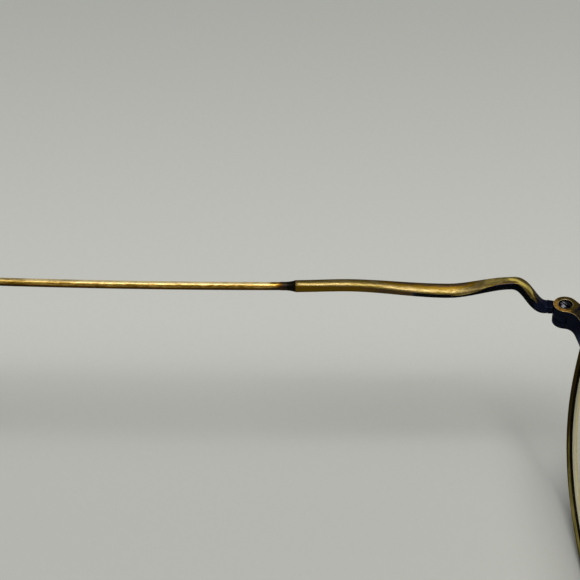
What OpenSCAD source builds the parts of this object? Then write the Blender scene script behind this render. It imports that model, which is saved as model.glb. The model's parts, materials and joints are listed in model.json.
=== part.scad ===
// Wire eyeglass frame with cast temple bars, split end pieces and rocking nose pads.
// Millimetres. X runs across the face, +Y towards the ears, +Z up; the left side is +X.

/* [Lenses] */
// Width of one lens
lens_w = 48.5; // [46:0.5:52]
// Height of one lens
lens_h = 40.5; // [37:0.5:43]
// Squareness of the lens outline, where 2 is an ellipse
lens_square = 2.25; // [2:0.05:2.5]
// Thickness of each lens
lens_t = 1.2; // [1.1:0.1:1.5]
// Radius of the sphere that the lenses follow
base_radius = 88; // [80:1:120]
// Gap between the two lenses at the nose
bridge_gap = 20; // [18:0.5:23]
// Lean of the front, lower edge towards the face
front_tilt = 4.8; // [2:0.1:8]
// Turn of each lens, outer edge towards the ear
front_wrap = 4.1; // [2:0.1:6]

/* [Eyewire] */
// Width of the eyewire, front to back
rim_w = 1.95; // [1.6:0.05:2.2]
// Thickness of the eyewire, lens side to outside
rim_t = 1.05; // [0.95:0.05:1.3]
// Depth of the groove that holds the lens
groove_depth = 0.5; // [0.4:0.05:0.6]
// Width of the groove at its mouth
groove_w = 1; // [0.9:0.05:1.1]
// Gap that the closing screw draws together
split_gap = 0.2; // [0.15:0.05:0.3]

/* [End piece] */
// From the widest point of the eyewire out to the hinge axis
hinge_out = 5.15; // [5:0.05:6.5]
// From the middle of the lens back to the hinge axis
hinge_back = 7.35; // [6.9:0.05:8.5]
// Height of the hinge above the middle of the lens
hinge_up = 4.4; // [3:0.1:6]
// Depth of the lug where it meets the eyewire, front to back
lug_w = 1.7; // [1.65:0.05:1.9]
// How far the lug sits ahead of the middle of the eyewire
lug_ahead = 0.2; // [0:0.05:0.25]
// Length of the closing block along the lug
block_len = 2.6; // [2.4:0.1:2.8]
// How far the lug's underside drops towards the eyewire
lug_drop = 0.7; // [0:0.05:1.2]

/* [Hinge] */
// Radius of the two ears
ear_r = 1.62; // [1.55:0.01:1.8]
// Thickness of the upper ear
ear_top_t = 0.88; // [0.8:0.02:1.2]
// Thickness of the lower ear
ear_low_t = 0.85; // [0.7:0.05:1.2]
// Thickness of the knuckle between the ears
knuckle_t = 1.12; // [0.9:0.02:1.3]
// Free play of the knuckle above and below
hinge_play = 0.05; // [0.03:0.01:0.08]
// Radius of the hinge screw
hinge_screw_r = 0.7; // [0.6:0.05:0.75]
// Radius of the hinge screw's head
hinge_head_r = 0.93; // [0.9:0.01:1.0]
// Height of the hinge screw's head
hinge_head_h = 0.5; // [0.4:0.05:0.55]
// Radius of the closing screw
closing_screw_r = 0.45; // [0.4:0.05:0.5]
// Radius of the closing screw's head
closing_head_r = 0.66; // [0.6:0.02:0.68]
// Height of the closing screw's head
closing_head_h = 0.4; // [0.3:0.05:0.5]
// Width of every screw slot
slot_w = 0.24; // [0.18:0.02:0.3]
// Depth of every screw slot
slot_d = 0.22; // [0.16:0.02:0.26]
// Radial play of a screw in a clear hole
screw_play = 0.03; // [0.02:0.01:0.05]

/* [Temple] */
// Sideways offset of the temple from the hinge axis
temple_off = 1.3; // [1.2:0.05:1.6]
// Where the bar starts behind the hinge axis
neck_y = 2.25; // [2.1:0.05:2.6]
// Where the hump of the bar stands behind the hinge axis
hump_y = 7.3; // [6.5:0.1:8.5]
// Height of the hump above the hinge
hump_z = 4; // [3:0.05:4.6]
// Where the dip of the bar lies behind the hinge axis
dip_y = 15.6; // [14:0.1:18]
// Height of the dip above the hinge
dip_z = 2.72; // [2.2:0.05:3.4]
// Where the bar is level again
level_y = 29.5; // [26:0.5:31]
// How much higher than the wire the bar is there
level_rise = 0.15; // [0:0.05:0.5]
// Where the bar ends and its tapered socket starts
bar_end_y = 36; // [34:0.5:40]
// Height of the wire above the hinge
wire_z = 3.51; // [3:0.05:4.2]
// Width of the neck behind the hinge
neck_w = 1.7; // [1.4:0.05:1.8]
// Thickness of the neck behind the hinge
neck_t = 1.1; // [0.9:0.02:1.12]
// Thickness added halfway up the neck
neck_swell = 0.38; // [0:0.02:0.5]
// Width of the bar over the hump
hump_w = 1.62; // [1.5:0.02:2]
// Thickness of the bar over the hump
hump_t = 1.15; // [1:0.05:1.3]
// Width of the bar at the dip
dip_w = 1.95; // [1.7:0.05:2.2]
// Thickness of the bar at the dip
dip_t = 1.15; // [0.9:0.05:1.3]
// Diameter of the bar's round end
bar_d = 1.62; // [1.5:0.02:1.9]
// Twist of the bar's flat face at the dip
bar_twist = 32; // [0:1:45]
// Diameter of the temple wire
wire_d = 1.1; // [1:0.05:1.3]
// Depth of the socket that holds the wire
socket_depth = 3.5; // [2:0.5:5]
// Radius of the wire's slight outward bow
bow_radius = 750; // [600:50:3000]
// From the hinge axis back to the bend over the ear
bend_y = 92; // [86:1:98]
// Radius of the bend over the ear
bend_radius = 18; // [14:1:24]
// Angle of the bend over the ear
bend_angle = 42; // [36:1:48]
// Lean of the bend towards the head
bend_lean = 9; // [0:1:12]

/* [Temple tip] */
// Length of the tip ahead of the bend
tip_lead = 11; // [6:1:14]
// Diameter of the tip at its mouth
tip_d = 2.3; // [2:0.1:2.6]
// Height of the tip near its end
tip_h = 4.4; // [3.6:0.1:5]
// Thickness of the tip near its end
tip_t = 2.5; // [2.2:0.1:3]
// Cover of plastic past the end of the wire
tip_cover = 5; // [3:0.5:7]

/* [Bridge] */
// Height of the bridge's feet above the middle of the lens
bridge_up = 10; // [8:0.5:12]
// Rise of the arch above its feet
bridge_rise = 2.6; // [1.5:0.1:4]
// How far the arch bows forward
bridge_bow = 1.6; // [0.5:0.1:2.5]
// Height of the bridge bar at the middle
bridge_h = 1.9; // [1.5:0.1:2.4]
// Depth of the bridge bar at the middle
bridge_d = 1.5; // [1.2:0.1:1.6]

/* [Nose pads] */
// Sideways place of the pad screw from the middle of the nose
pad_x = 11.7; // [11:0.1:12.5]
// Place of the pad screw ahead of the hinge axis
pad_ahead = 0.1; // [-1:0.1:1]
// Height of the pad screw below the hinge
pad_below = 7; // [6:0.5:9]
// Height of a pad
pad_h = 13.5; // [12:0.5:15]
// Width of a pad
pad_w = 7.4; // [6.5:0.1:8]
// Thickness of a pad
pad_t = 2.4; // [2.2:0.1:2.8]
// Splay of the pads, seen from above
pad_splay = 27; // [20:1:32]
// Lean of the pads, tops together
pad_lean = 20; // [14:1:26]
// Width of the pad's lug
pad_lug_w = 1.2; // [1:0.05:1.4]
// Radius of the pad screw
pad_screw_r = 0.45; // [0.4:0.05:0.5]
// Diameter of the pad arm's wire
arm_d = 0.95; // [0.8:0.05:1.1]

/* [Hidden] */

// Colours of the finished metal, the lenses and the plastics
gold = [0.62, 0.47, 0.16];
navy = [0.06, 0.08, 0.13];
steel = [0.6, 0.6, 0.62];
clear_lens = [0.85, 0.88, 0.8, 0.4];
silicone = [0.9, 0.88, 0.82, 0.7];
tortoise = [0.22, 0.11, 0.04];

// Facets of exact round surfaces, points round a lens and points round a swept bar
$fn = 48;
lens_steps = 72;
bar_sides = 16;
tip_sides = 12;
arm_sides = 8;

// Clearance that stands for a brazed or glued seam, and around a wire in its socket
seam = 0.03;
wire_play = 0.02;

// The eyewire's section, measured outwards from the lens edge
rim_outer = rim_t - groove_depth;
rim_inner = -groove_depth;
rim_round = 0.22;
groove_floor_w = 0.2;
lens_seat = 0.06;

// Half sizes of the lens outline, and places seen from the hinge's height and depth
half_w = lens_w / 2;
half_h = lens_h / 2;
lens_x = (bridge_gap + lens_w) / 2;
lens_centre = [lens_x, -hinge_back, -hinge_up];
hinge_x = lens_x + half_w + rim_outer + hinge_out;

// Heights of the hinge, measured from the middle of the knuckle
ear_low = knuckle_t / 2 + hinge_play;
hinge_top = ear_low + ear_top_t;
hinge_foot = -ear_low - ear_low_t;
split_z = hinge_foot + 1.36;

function unit(v) = v / norm(v);
function smooth(s) = s * s * (3 - 2 * s);
function ease(s) = pow(s, 3) * (s * (6 * s - 15) + 10);
function signed_power(c, p) = sign(c) * pow(abs(c), p);
function bezier(p, s) = pow(1 - s, 3) * p[0] + 3 * pow(1 - s, 2) * s * p[1]
    + 3 * (1 - s) * s * s * p[2] + pow(s, 3) * p[3];
function flatten(lists) = [for (l = lists) each l];

// Outline of the lens at an angle from its temple side, and the outward normal there
function outline(t) = let (c = cos(t), s = sin(t),
    r = pow(pow(abs(c) / half_w, lens_square) + pow(abs(s) / half_h, lens_square), -1 / lens_square))
    [r * c, r * s];
function outline_normal(t) = let (p = outline(t), k = lens_square - 1)
    unit([signed_power(p[0] / half_w, k) / half_w, signed_power(p[1] / half_h, k) / half_h]);

// A point of the lens sphere, and the way towards the face there
function sphere_depth(p) = base_radius - sqrt(pow(base_radius, 2) - p[0] * p[0] - p[1] * p[1]);
function on_sphere(p) = [p[0], sphere_depth(p), p[1]];
function faceward(p) = unit([-p[0], base_radius - sphere_depth(p), -p[1]]);

// Carries a point of the left lens to its leaned and wrapped place
function placed(p) = let (y = p[1] * cos(front_tilt) - p[2] * sin(front_tilt),
    z = p[2] * cos(front_tilt) + p[1] * sin(front_tilt))
    lens_centre + [p[0] * cos(front_wrap) - y * sin(front_wrap),
        p[0] * sin(front_wrap) + y * cos(front_wrap), z];

// A point near the lens edge: out from the edge, and back towards the face
function edge_point(t, out, back) = let (p = outline(t), n = outline_normal(t), a = faceward(p),
    flat = [n[0], 0, n[1]], side = unit(flat - (flat * a) * a))
    placed(on_sphere(p) + out * side + back * a);
function edge_ring(t, section) = [for (q = section) edge_point(t, q[0], q[1])];

// The angle at which the middle of the eyewire passes a height, found by halving
function angle_at(z, low, high, n = 24) = let (mid = (low + high) / 2)
    n == 0 ? mid : edge_point(mid, 0, 0)[2] < z ? angle_at(z, mid, high, n - 1)
    : angle_at(z, low, mid, n - 1);

rim_section = [[rim_inner, -rim_w / 2], [rim_outer - rim_round, -rim_w / 2],
    [rim_outer, rim_round - rim_w / 2], [rim_outer, rim_w / 2 - rim_round],
    [rim_outer - rim_round, rim_w / 2], [rim_inner, rim_w / 2],
    [rim_inner, groove_w / 2], [seam, groove_floor_w / 2],
    [seam, -groove_floor_w / 2], [rim_inner, -groove_w / 2]];
split_angle = angle_at(split_z, 0, 60);
rim_step = edge_point(split_angle + 1, 0, 0) - edge_point(split_angle, 0, 0);
split_turn = (split_gap / 2) / rim_step[2];
rim_angles = [for (i = [0 : lens_steps]) split_angle + split_turn
    + (360 - 2 * split_turn) * i / lens_steps];
rim_rings = [for (t = rim_angles) edge_ring(t, rim_section)];
rim_points = flatten(rim_rings);
rim_low = min([for (p = rim_points) p[2]]);

// A loft through rings of equal count, its first and last ring closed by flat caps
module loft(rings, flip = false) {
    m = len(rings[0]);
    n = len(rings);
    walls = [for (i = [0 : n - 2]) for (j = [0 : m - 1]) let (k = (j + 1) % m)
        each [[i * m + j, (i + 1) * m + k, i * m + k], [i * m + j, (i + 1) * m + j, (i + 1) * m + k]]];
    first = [for (j = [0 : m - 1]) j];
    last = [for (j = [m - 1 : -1 : 0]) (n - 1) * m + j];
    faces = concat(walls, [first, last]);
    turned = [for (f = faces) [for (j = [len(f) - 1 : -1 : 0]) f[j]]];
    polyhedron(flatten(rings), flip ? turned : faces, convexity = 8);
}

// A loft whose ends run to a single point
module capped_loft(rings, start, finish, flip = false) {
    m = len(rings[0]);
    n = len(rings);
    walls = [for (i = [0 : n - 2]) for (j = [0 : m - 1]) let (k = (j + 1) % m)
        each [[i * m + j, (i + 1) * m + k, i * m + k], [i * m + j, (i + 1) * m + j, (i + 1) * m + k]]];
    first = [for (j = [0 : m - 1]) [n * m, j, (j + 1) % m]];
    last = [for (j = [0 : m - 1]) [n * m + 1, (n - 1) * m + (j + 1) % m, (n - 1) * m + j]];
    faces = concat(walls, first, last);
    turned = [for (f = faces) [f[2], f[1], f[0]]];
    polyhedron(concat(flatten(rings), [start, finish]), flip ? turned : faces, convexity = 8);
}

module right() { mirror([1, 0, 0]) children(); }

// Eyewire, one length of grooved wire whose ends meet at the closing block
module rim() { color(gold) loft(rim_rings); }

// Lens with a V edge that sits in the groove
function lens_ring(k, back) = [for (i = [0 : lens_steps - 1]) let (p = outline(rim_angles[i]) * k)
    placed(on_sphere(p) + back * faceward(p))];
function lens_edge(out, back) = [for (i = [0 : lens_steps - 1]) edge_point(rim_angles[i], out, back)];
module lens() {
    shoulder = rim_inner - lens_seat;
    vee = groove_w / 2 - lens_seat;
    face = lens_t / 2;
    color(clear_lens) capped_loft(
        [lens_ring(0.4, -face), lens_ring(0.75, -face), lens_edge(shoulder, -face),
            lens_edge(shoulder, -vee), lens_edge(-lens_seat, 0), lens_edge(shoulder, vee),
            lens_edge(shoulder, face), lens_ring(0.75, face), lens_ring(0.4, face)],
        placed([0, -face, 0]), placed([0, face, 0]), flip = true);
}

// The space that the eyewire takes up near an angle, for cutting what is brazed to it
module rim_room(t, spread, inside = 3) {
    over = rim_w / 2 + 1.5;
    room = [[-inside, -over], [rim_outer + seam, -over], [rim_outer + seam, over], [-inside, over]];
    steps = 5;
    loft([for (i = [-steps : steps]) edge_ring(t + spread * i / steps, room)]);
}

// Plan of the lug, from the round ears to the eyewire
rim_side = edge_point(split_angle, rim_outer, 0);
lug_mid_y = rim_side[1] - lug_ahead;
lug_back_y = lug_mid_y + lug_w / 2;
lug_front_y = lug_mid_y - lug_w / 2;
lug_in_x = rim_side[0] - 0.6;
ear_tangent = -53;
ear_edge = hinge_x + ear_r * cos(ear_tangent);
back_curve = [[hinge_x - ear_r * cos(11), ear_r * sin(11)], [hinge_x - ear_r - 0.2, lug_back_y + 0.5],
    [hinge_x - ear_r - 1.45, lug_back_y], [lug_in_x, lug_back_y]];
front_curve = [[ear_edge, ear_r * sin(ear_tangent)], [hinge_x - 0.5, lug_front_y + 1.15],
    [hinge_x - 2, lug_front_y], [lug_in_x, lug_front_y]];
lug_steps = 14;
module lug_plan() {
    polygon(concat([for (i = [0 : lug_steps]) bezier(back_curve, i / lug_steps)],
        [for (i = [lug_steps : -1 : 0]) bezier(front_curve, i / lug_steps)], [[hinge_x, 0]]));
}

// Side view of the lug, whose underside drops towards the eyewire
drop_from = hinge_x - ear_r - 0.1;
drop_steps = 8;
module lug_side() {
    translate([0, lug_front_y + 10, 0]) rotate([90, 0, 0]) linear_extrude(20)
        polygon(concat([[lug_in_x - 1, hinge_top], [hinge_x + ear_r + 1, hinge_top], [hinge_x + ear_r + 1, hinge_foot]],
            [for (i = [0 : drop_steps]) let (s = i / drop_steps)
                [drop_from + (block_x - 0.4 - drop_from) * s, hinge_foot - lug_drop * smooth(s)]],
            [[lug_in_x - 1, hinge_foot - lug_drop]]));
}
module lug() { intersection() { level(hinge_foot - lug_drop, hinge_top) lug_plan(); lug_side(); } }
module level(low, high) { translate([0, 0, low]) linear_extrude(high - low) children(); }
module post(x, y, low, high, r) { translate([x, y, low]) cylinder(h = high - low, r = r); }
module screw_slot(x, y, low, high, head_r, turn) {
    translate([x, y, low]) rotate(turn) translate([-head_r - 1, -slot_w / 2, 0])
        cube([2 * head_r + 2, slot_w, high - low]);
}

// Where the lug splits, and the closing screw in it
block_x = rim_side[0] + block_len;
closing_x = rim_side[0] + block_len / 2 + 0.05;
closing_y = lug_mid_y;
block_top = split_z - split_gap / 2;
upper_foot = split_z + split_gap / 2;
closing_foot = hinge_foot - lug_drop;
closing_seat = closing_foot + closing_head_h + 0.08;
closing_tip = hinge_top - 0.45;
stop_r = 1.95;
stop_from = -120;
stop_width = 26;

// End piece: two ears, the lug and the upper half of the closing block in one casting
module endpiece() {
    sink = hinge_head_h + 0.06;
    color(gold) difference() {
        union() {
            post(hinge_x, 0, hinge_foot, hinge_top, ear_r);
            lug();
        }
        post(hinge_x, 0, -ear_low, ear_low, ear_r + 0.07);
        stop_pocket();
        post(hinge_x, 0, -ear_low, hinge_top + 1, hinge_screw_r + screw_play);
        post(hinge_x, 0, hinge_foot - 1, 0, hinge_screw_r + wire_play);
        post(hinge_x, 0, hinge_top - sink, hinge_top + 1, hinge_head_r + 0.05);
        translate([lug_in_x - 1, lug_front_y - 1, closing_foot - 1])
            cube([block_x - lug_in_x + 1 + seam, lug_w + 2, upper_foot - closing_foot + 1]);
        post(closing_x, closing_y, 0, closing_tip + 0.05, closing_screw_r + wire_play);
        rim_room(split_angle, 16);
    }
}
module stop_pocket() {
    arc = 12;
    level(-ear_low, ear_low) translate([hinge_x, 0]) polygon(concat([[0, 0]],
        [for (i = [0 : arc]) let (a = stop_from + (180 - 15 - stop_from) * i / arc)
            (stop_r + 0.12) * [cos(a), sin(a)]]));
}

// Lower half of the closing block, brazed to the lower end of the eyewire
module closing_block() {
    color(navy) difference() {
        intersection() {
            lug();
            translate([lug_in_x - 1, lug_front_y - 1, closing_foot - 1])
                cube([block_x - lug_in_x + 1 - seam, lug_w + 2, block_top - closing_foot + 1]);
        }
        post(closing_x, closing_y, closing_foot - 1, block_top + 1, closing_screw_r + screw_play);
        post(closing_x, closing_y, closing_foot - 1, closing_seat + 0.01, closing_head_r + screw_play);
        rim_room(split_angle, 16);
    }
}
module closing_screw() {
    color(steel) difference() {
        union() {
            post(closing_x, closing_y, closing_seat - closing_head_h, closing_seat, closing_head_r);
            post(closing_x, closing_y, closing_seat - 0.1, closing_tip, closing_screw_r);
        }
        screw_slot(closing_x, closing_y, closing_foot - 1,
            closing_seat - closing_head_h + slot_d, closing_head_r, 25);
    }
}
module hinge_screw() {
    head_top = hinge_top - 0.05;
    color(steel) difference() {
        union() {
            post(hinge_x, 0, head_top - hinge_head_h, head_top, hinge_head_r);
            post(hinge_x, 0, hinge_foot, head_top - 0.1, hinge_screw_r);
        }
        screw_slot(hinge_x, 0, head_top - slot_d, head_top + 1, hinge_head_r, 42);
    }
}

// Knuckle that turns between the ears, with the heel that stops the temple when it is open
module temple_knuckle() {
    eye_r = ear_r - 0.05;
    neck = neck_w / 2;
    color(navy) difference() {
        level(-knuckle_t / 2, knuckle_t / 2) translate([hinge_x, 0]) {
            circle(r = eye_r);
            polygon([[0, 0], [eye_r, 0], [temple_off + neck, neck_y - seam],
                [temple_off - neck, neck_y - seam], [temple_off - neck, 0]]);
            intersection() {
                circle(r = stop_r);
                polygon([[0, 0], 4 * [cos(stop_from + 2), sin(stop_from + 2)],
                    4 * [cos(stop_from + stop_width), sin(stop_from + stop_width)]]);
            }
        }
        post(hinge_x, 0, -2, 2, hinge_screw_r + screw_play);
    }
}

// Sections of the cast bar: place, width, thickness, twist and squareness, with the height beside
bar_keys = [[neck_y, neck_w, neck_t, 0, 8], [hump_y, hump_w, hump_t, 0, 5], [dip_y, dip_w, dip_t, bar_twist, 3],
    [level_y, bar_d + 0.03, bar_d - 0.1, bar_twist / 2, 2.2], [bar_end_y, bar_d, bar_d, 0, 2]];
bar_heights = [0, hump_z, dip_z, wire_z + level_rise, wire_z];
bar_steps = [14, 9, 9, 3];
function bar_key(i, s) = bar_keys[i] + (bar_keys[i + 1] - bar_keys[i]) * (i == 0 ? s : smooth(s));
function bar_row(i, s) = let (
    y = bar_keys[i][0] + (bar_keys[i + 1][0] - bar_keys[i][0]) * s,
    rise = i == 0 ? ease(pow(s, 0.95)) : smooth(s),
    swell = i == 0 ? neck_swell * 4 * s * (1 - s) : 0,
    k = bar_key(i, s))
    [y, bar_heights[i] + (bar_heights[i + 1] - bar_heights[i]) * rise, k[1], k[2] + swell, k[3], k[4]];
bar_rows = concat(flatten([for (i = [0 : 3]) [for (j = [0 : bar_steps[i] - 1]) bar_row(i, j / bar_steps[i])]]),
    [bar_row(3, 1)]);
bar_x = hinge_x + temple_off;

// One superellipse ring square to a path, with its width towards a given direction
function swept_ring(centre, along, w, h, turn, power, sides, towards = [1, 0, 0]) = let (
    t = unit(along), side = unit(towards - (towards * t) * t), up = cross(side, t))
    [for (j = [0 : sides - 1]) let (a = 360 * (j + 0.5) / sides,
        p = w / 2 * signed_power(cos(a), 2 / power), q = h / 2 * signed_power(sin(a), 2 / power))
        centre + side * (p * cos(turn) - q * sin(turn)) + up * (p * sin(turn) + q * cos(turn))];
function row_centre(r) = [bar_x, r[0], r[1]];
bar_rings = [for (i = [0 : len(bar_rows) - 1]) let (r = bar_rows[i],
    along = i == 0 || i == len(bar_rows) - 1 ? [0, 1, 0]
        : row_centre(bar_rows[i + 1]) - row_centre(bar_rows[i - 1]))
    swept_ring(row_centre(r), along, r[2], r[3], r[4], r[5], bar_sides)];

// The taper behind the bar that narrows to the wire
socket_mouth_d = wire_d + 0.16;
taper_len = 2;
taper_rings = [for (s = [0.06, 0.3, 0.6, 1])
    let (d = socket_mouth_d + (bar_d - 0.08 - socket_mouth_d) * pow(1 - s, 1.8))
    swept_ring([bar_x, bar_end_y + taper_len * s, wire_z], [0, 1, 0], d, d, 0, 2, bar_sides)];
socket_floor_y = bar_end_y + taper_len - socket_depth;

module temple_bar() {
    color(gold) difference() {
        loft(concat(bar_rings, taper_rings), flip = true);
        translate([bar_x, socket_floor_y, wire_z]) rotate([-90, 0, 0])
            cylinder(h = socket_depth + 1, r = wire_d / 2 + wire_play);
    }
}

// The wire's route: straight in its socket, a long outward bow, then the bend over the ear
bow_start_y = bar_end_y + taper_len;
bow_turn = asin((bend_y - bow_start_y) / bow_radius);
bend_x = bar_x + bow_radius * (1 - cos(bow_turn));
bend_reach = bend_radius * sin(bend_angle);
bend_fall = bend_radius * (1 - cos(bend_angle));
// Places along the wire, counted from the start of the bend
bow_run = bow_radius * bow_turn * PI / 180;
bend_run = bend_radius * bend_angle * PI / 180;
function to_bend(p) = let (x = p[0] * cos(bend_lean) + p[2] * sin(bend_lean),
    z = p[2] * cos(bend_lean) - p[0] * sin(bend_lean))
    [bend_x + x * cos(bow_turn) + p[1] * sin(bow_turn), bend_y - x * sin(bow_turn) + p[1] * cos(bow_turn),
        wire_z + z];
function route_point(s) = s < -bow_run ? [bar_x, bow_start_y + bow_run + s, wire_z]
    : s < 0 ? let (a = bow_turn + s / bow_radius * 180 / PI)
        [bar_x + bow_radius * (1 - cos(a)), bow_start_y + bow_radius * sin(a), wire_z]
    : s < bend_run ? let (a = s / bend_radius * 180 / PI)
        to_bend([0, bend_radius * sin(a), -bend_radius * (1 - cos(a))])
    : let (d = s - bend_run)
        to_bend([0, bend_reach + d * cos(bend_angle), -bend_fall - d * sin(bend_angle)]);
function route_way(s) = unit(route_point(s + 0.05) - route_point(s - 0.05));

// Tip sizes at a share of its length, and the rounded end
tip_lead_steps = 26;
function tip_size(f) = let (g = smooth(min(1, f / 0.8)))
    [tip_d + (tip_t - tip_d) * g, tip_d + (tip_h - tip_d) * g];
function tip_ring(s, f, k) = let (size = tip_size(f) * k)
    swept_ring(route_point(s), route_way(s), size[0], size[1], 0, 2.3, tip_sides);
function tip_rings(tail) = let (whole = tip_lead + bend_run + tail + tip_cover, nose = 2.2)
    concat([tip_ring(-tip_lead, 0, 0.8)],
        [for (i = [0 : tip_lead_steps]) let (s = -tip_lead + 0.25 + (whole - 0.25 - nose) * i / tip_lead_steps)
            tip_ring(s, (s + tip_lead) / whole, 1)],
        [for (a = [30, 52, 70, 83]) tip_ring(whole - tip_lead - nose * (1 - sin(a)), 1, cos(a))]);

// The tail is as long as the tip needs to stand level with the lower edge of the front
tail_probe = 30;
tip_low_probe = min([for (p = flatten(tip_rings(tail_probe))) p[2]]);
tail_drop = cos(bend_lean) * sin(bend_angle);
tail_len = tail_probe + (tip_low_probe - rim_low) / tail_drop;
tip_points = flatten(tip_rings(tail_len));
rear_y = max([for (p = tip_points) p[1]]);

bow_steps = 8;
bend_steps = 14;
curve_places = concat([for (i = [0 : bow_steps]) -bow_run * (1 - i / bow_steps)],
    [for (i = [1 : bend_steps]) bend_run * i / bend_steps]);
module tube(start, tail, d) {
    places = concat([start], [for (s = curve_places) if (s > start) s], [bend_run + tail]);
    loft([for (s = places) swept_ring(route_point(s), route_way(s), d, d, 0, 2, bar_sides)], flip = true);
}
module temple_wire() {
    color(gold) tube(socket_floor_y + 0.3 - bow_start_y - bow_run, tail_len, wire_d);
}
module temple_tip() {
    color(tortoise) difference() {
        loft(tip_rings(tail_len), flip = true);
        tube(-tip_lead - 0.5, tail_len + 0.2, wire_d + 2 * wire_play);
    }
}

// Bridge, an arched bar whose flared feet are brazed to both eyewires
foot_angle = 180 - angle_at(bridge_up - hinge_up, 0, 60);
foot_left = edge_point(foot_angle, rim_outer - 0.5, 0);
bridge_steps = 20;
function bridge_point(q) = [foot_left[0] * q, foot_left[1] - bridge_bow * (1 - q * q),
    foot_left[2] + bridge_rise * (1 - pow(abs(q), 2.4))];
bridge_rings = [for (i = [-bridge_steps / 2 : bridge_steps / 2]) let (q = 2 * i / bridge_steps,
    flare = 1 + 0.35 * pow(abs(q), 5), t = unit(bridge_point(q + 0.02) - bridge_point(q - 0.02)),
    side = unit([0, 1, 0] - t[1] * t), up = cross(t, side))
    [for (j = [0 : bar_sides - 1]) let (a = 360 * (j + 0.5) / bar_sides)
        bridge_point(q) + side * (bridge_d / 2 * signed_power(cos(a), 2 / 2.6))
            + up * (bridge_h / 2 * flare * signed_power(sin(a), 2 / 2.6))]];
front_y = min([for (p = concat(rim_points, flatten(bridge_rings), [placed([0, -lens_t / 2, 0])])) p[1]]);
module bridge() {
    color(gold) difference() {
        loft(bridge_rings);
        rim_room(foot_angle, 12);
        right() rim_room(foot_angle, 12);
    }
}

// Nose pads: the pad's own frame has -X towards the nose and Y along the screw
pad_pin = [pad_x, -pad_ahead, -pad_below];
module at_pad() { translate(pad_pin) rotate([0, -pad_lean, -pad_splay]) children(); }
function to_pad(p) = let (x = p[0] * cos(pad_lean) - p[2] * sin(pad_lean),
    z = p[2] * cos(pad_lean) + p[0] * sin(pad_lean))
    pad_pin + [x * cos(pad_splay) + p[1] * sin(pad_splay), p[1] * cos(pad_splay) - x * sin(pad_splay), z];
lug_r = 0.92;
box_inside = pad_lug_w + 0.08;
box_wall = 0.42;
box_h = 2.2;
box_floor = lug_r + 0.1;
box_mouth = -0.75;
pad_back = -1.45;
insert_t = 0.55;
insert_w = 3.4;
insert_h = 7;

module pad_box() {
    outside = box_inside + 2 * box_wall;
    color(navy) at_pad() difference() {
        translate([box_mouth, -outside / 2, -box_h / 2]) cube([box_floor + box_wall - box_mouth, outside, box_h]);
        translate([box_mouth - 1, -box_inside / 2, -box_h])
            cube([box_floor - box_mouth + 1, box_inside, 2 * box_h]);
        across(-2, 2, pad_screw_r + wire_play);
    }
}
module across(low, high, r) { translate([0, low, 0]) rotate([-90, 0, 0]) cylinder(h = high - low, r = r); }
module pad_screw() {
    wall = box_inside / 2 + box_wall;
    head_h = 0.4;
    color(steel) at_pad() difference() {
        union() {
            across(-wall, wall + head_h / 2, pad_screw_r);
            across(wall + wire_play, wall + head_h, pad_screw_r + 0.27);
        }
        translate([-2, wall + head_h - slot_d, -slot_w / 2]) cube([4, 1, slot_w]);
    }
}
module insert_plan() {
    hull() for (z = [-1, 1]) translate([0, z * (insert_h - insert_w) / 2]) circle(d = insert_w, $fn = 32);
}
module pad_insert() {
    color(silicone) at_pad() difference() {
        union() {
            across(-pad_lug_w / 2, pad_lug_w / 2, lug_r);
            translate([pad_back - insert_t / 2, -pad_lug_w / 2, -lug_r])
                cube([-pad_back + insert_t / 2, pad_lug_w, 2 * lug_r]);
            translate([pad_back, 0, 0]) rotate([90, 0, -90]) linear_extrude(insert_t)
                insert_plan();
        }
        across(-2, 2, pad_screw_r + screw_play);
        translate([0, -2, 0]) cube([4, 4, 4]);
        translate([0, -2, -4]) cube([4, 4, 4]);
    }
    color(silicone) at_pad() difference() {
        across(-pad_lug_w / 2, pad_lug_w / 2, lug_r);
        across(-2, 2, pad_screw_r + screw_play);
        translate([-4, -2, -4]) cube([4, 4, 8]);
    }
}

// Pad: a crowned drop, wider below, flat behind
pad_steps = 28;
function pad_ring(k, deep) = [for (i = [0 : pad_steps - 1]) let (a = 360 * i / pad_steps,
    drop = 1 - 0.13 * sin(a))
    to_pad([pad_back - deep, k * pad_w / 2 * cos(a) * drop, k * pad_h / 2 * sin(a)])];
module nose_pad() {
    color(silicone) difference() {
        capped_loft([pad_ring(0.9, 0), pad_ring(1, 0.35), pad_ring(0.98, 0.35 * pad_t),
            pad_ring(0.85, 0.68 * pad_t), pad_ring(0.6, 0.9 * pad_t), pad_ring(0.3, 0.985 * pad_t)],
            to_pad([pad_back, 0, 0]), to_pad([pad_back - pad_t, 0, 0]), flip = true);
        at_pad() translate([pad_back + 1, 0, 0]) rotate([90, 0, -90]) linear_extrude(insert_t + seam + 1)
            offset(delta = seam) insert_plan();
    }
}

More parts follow.
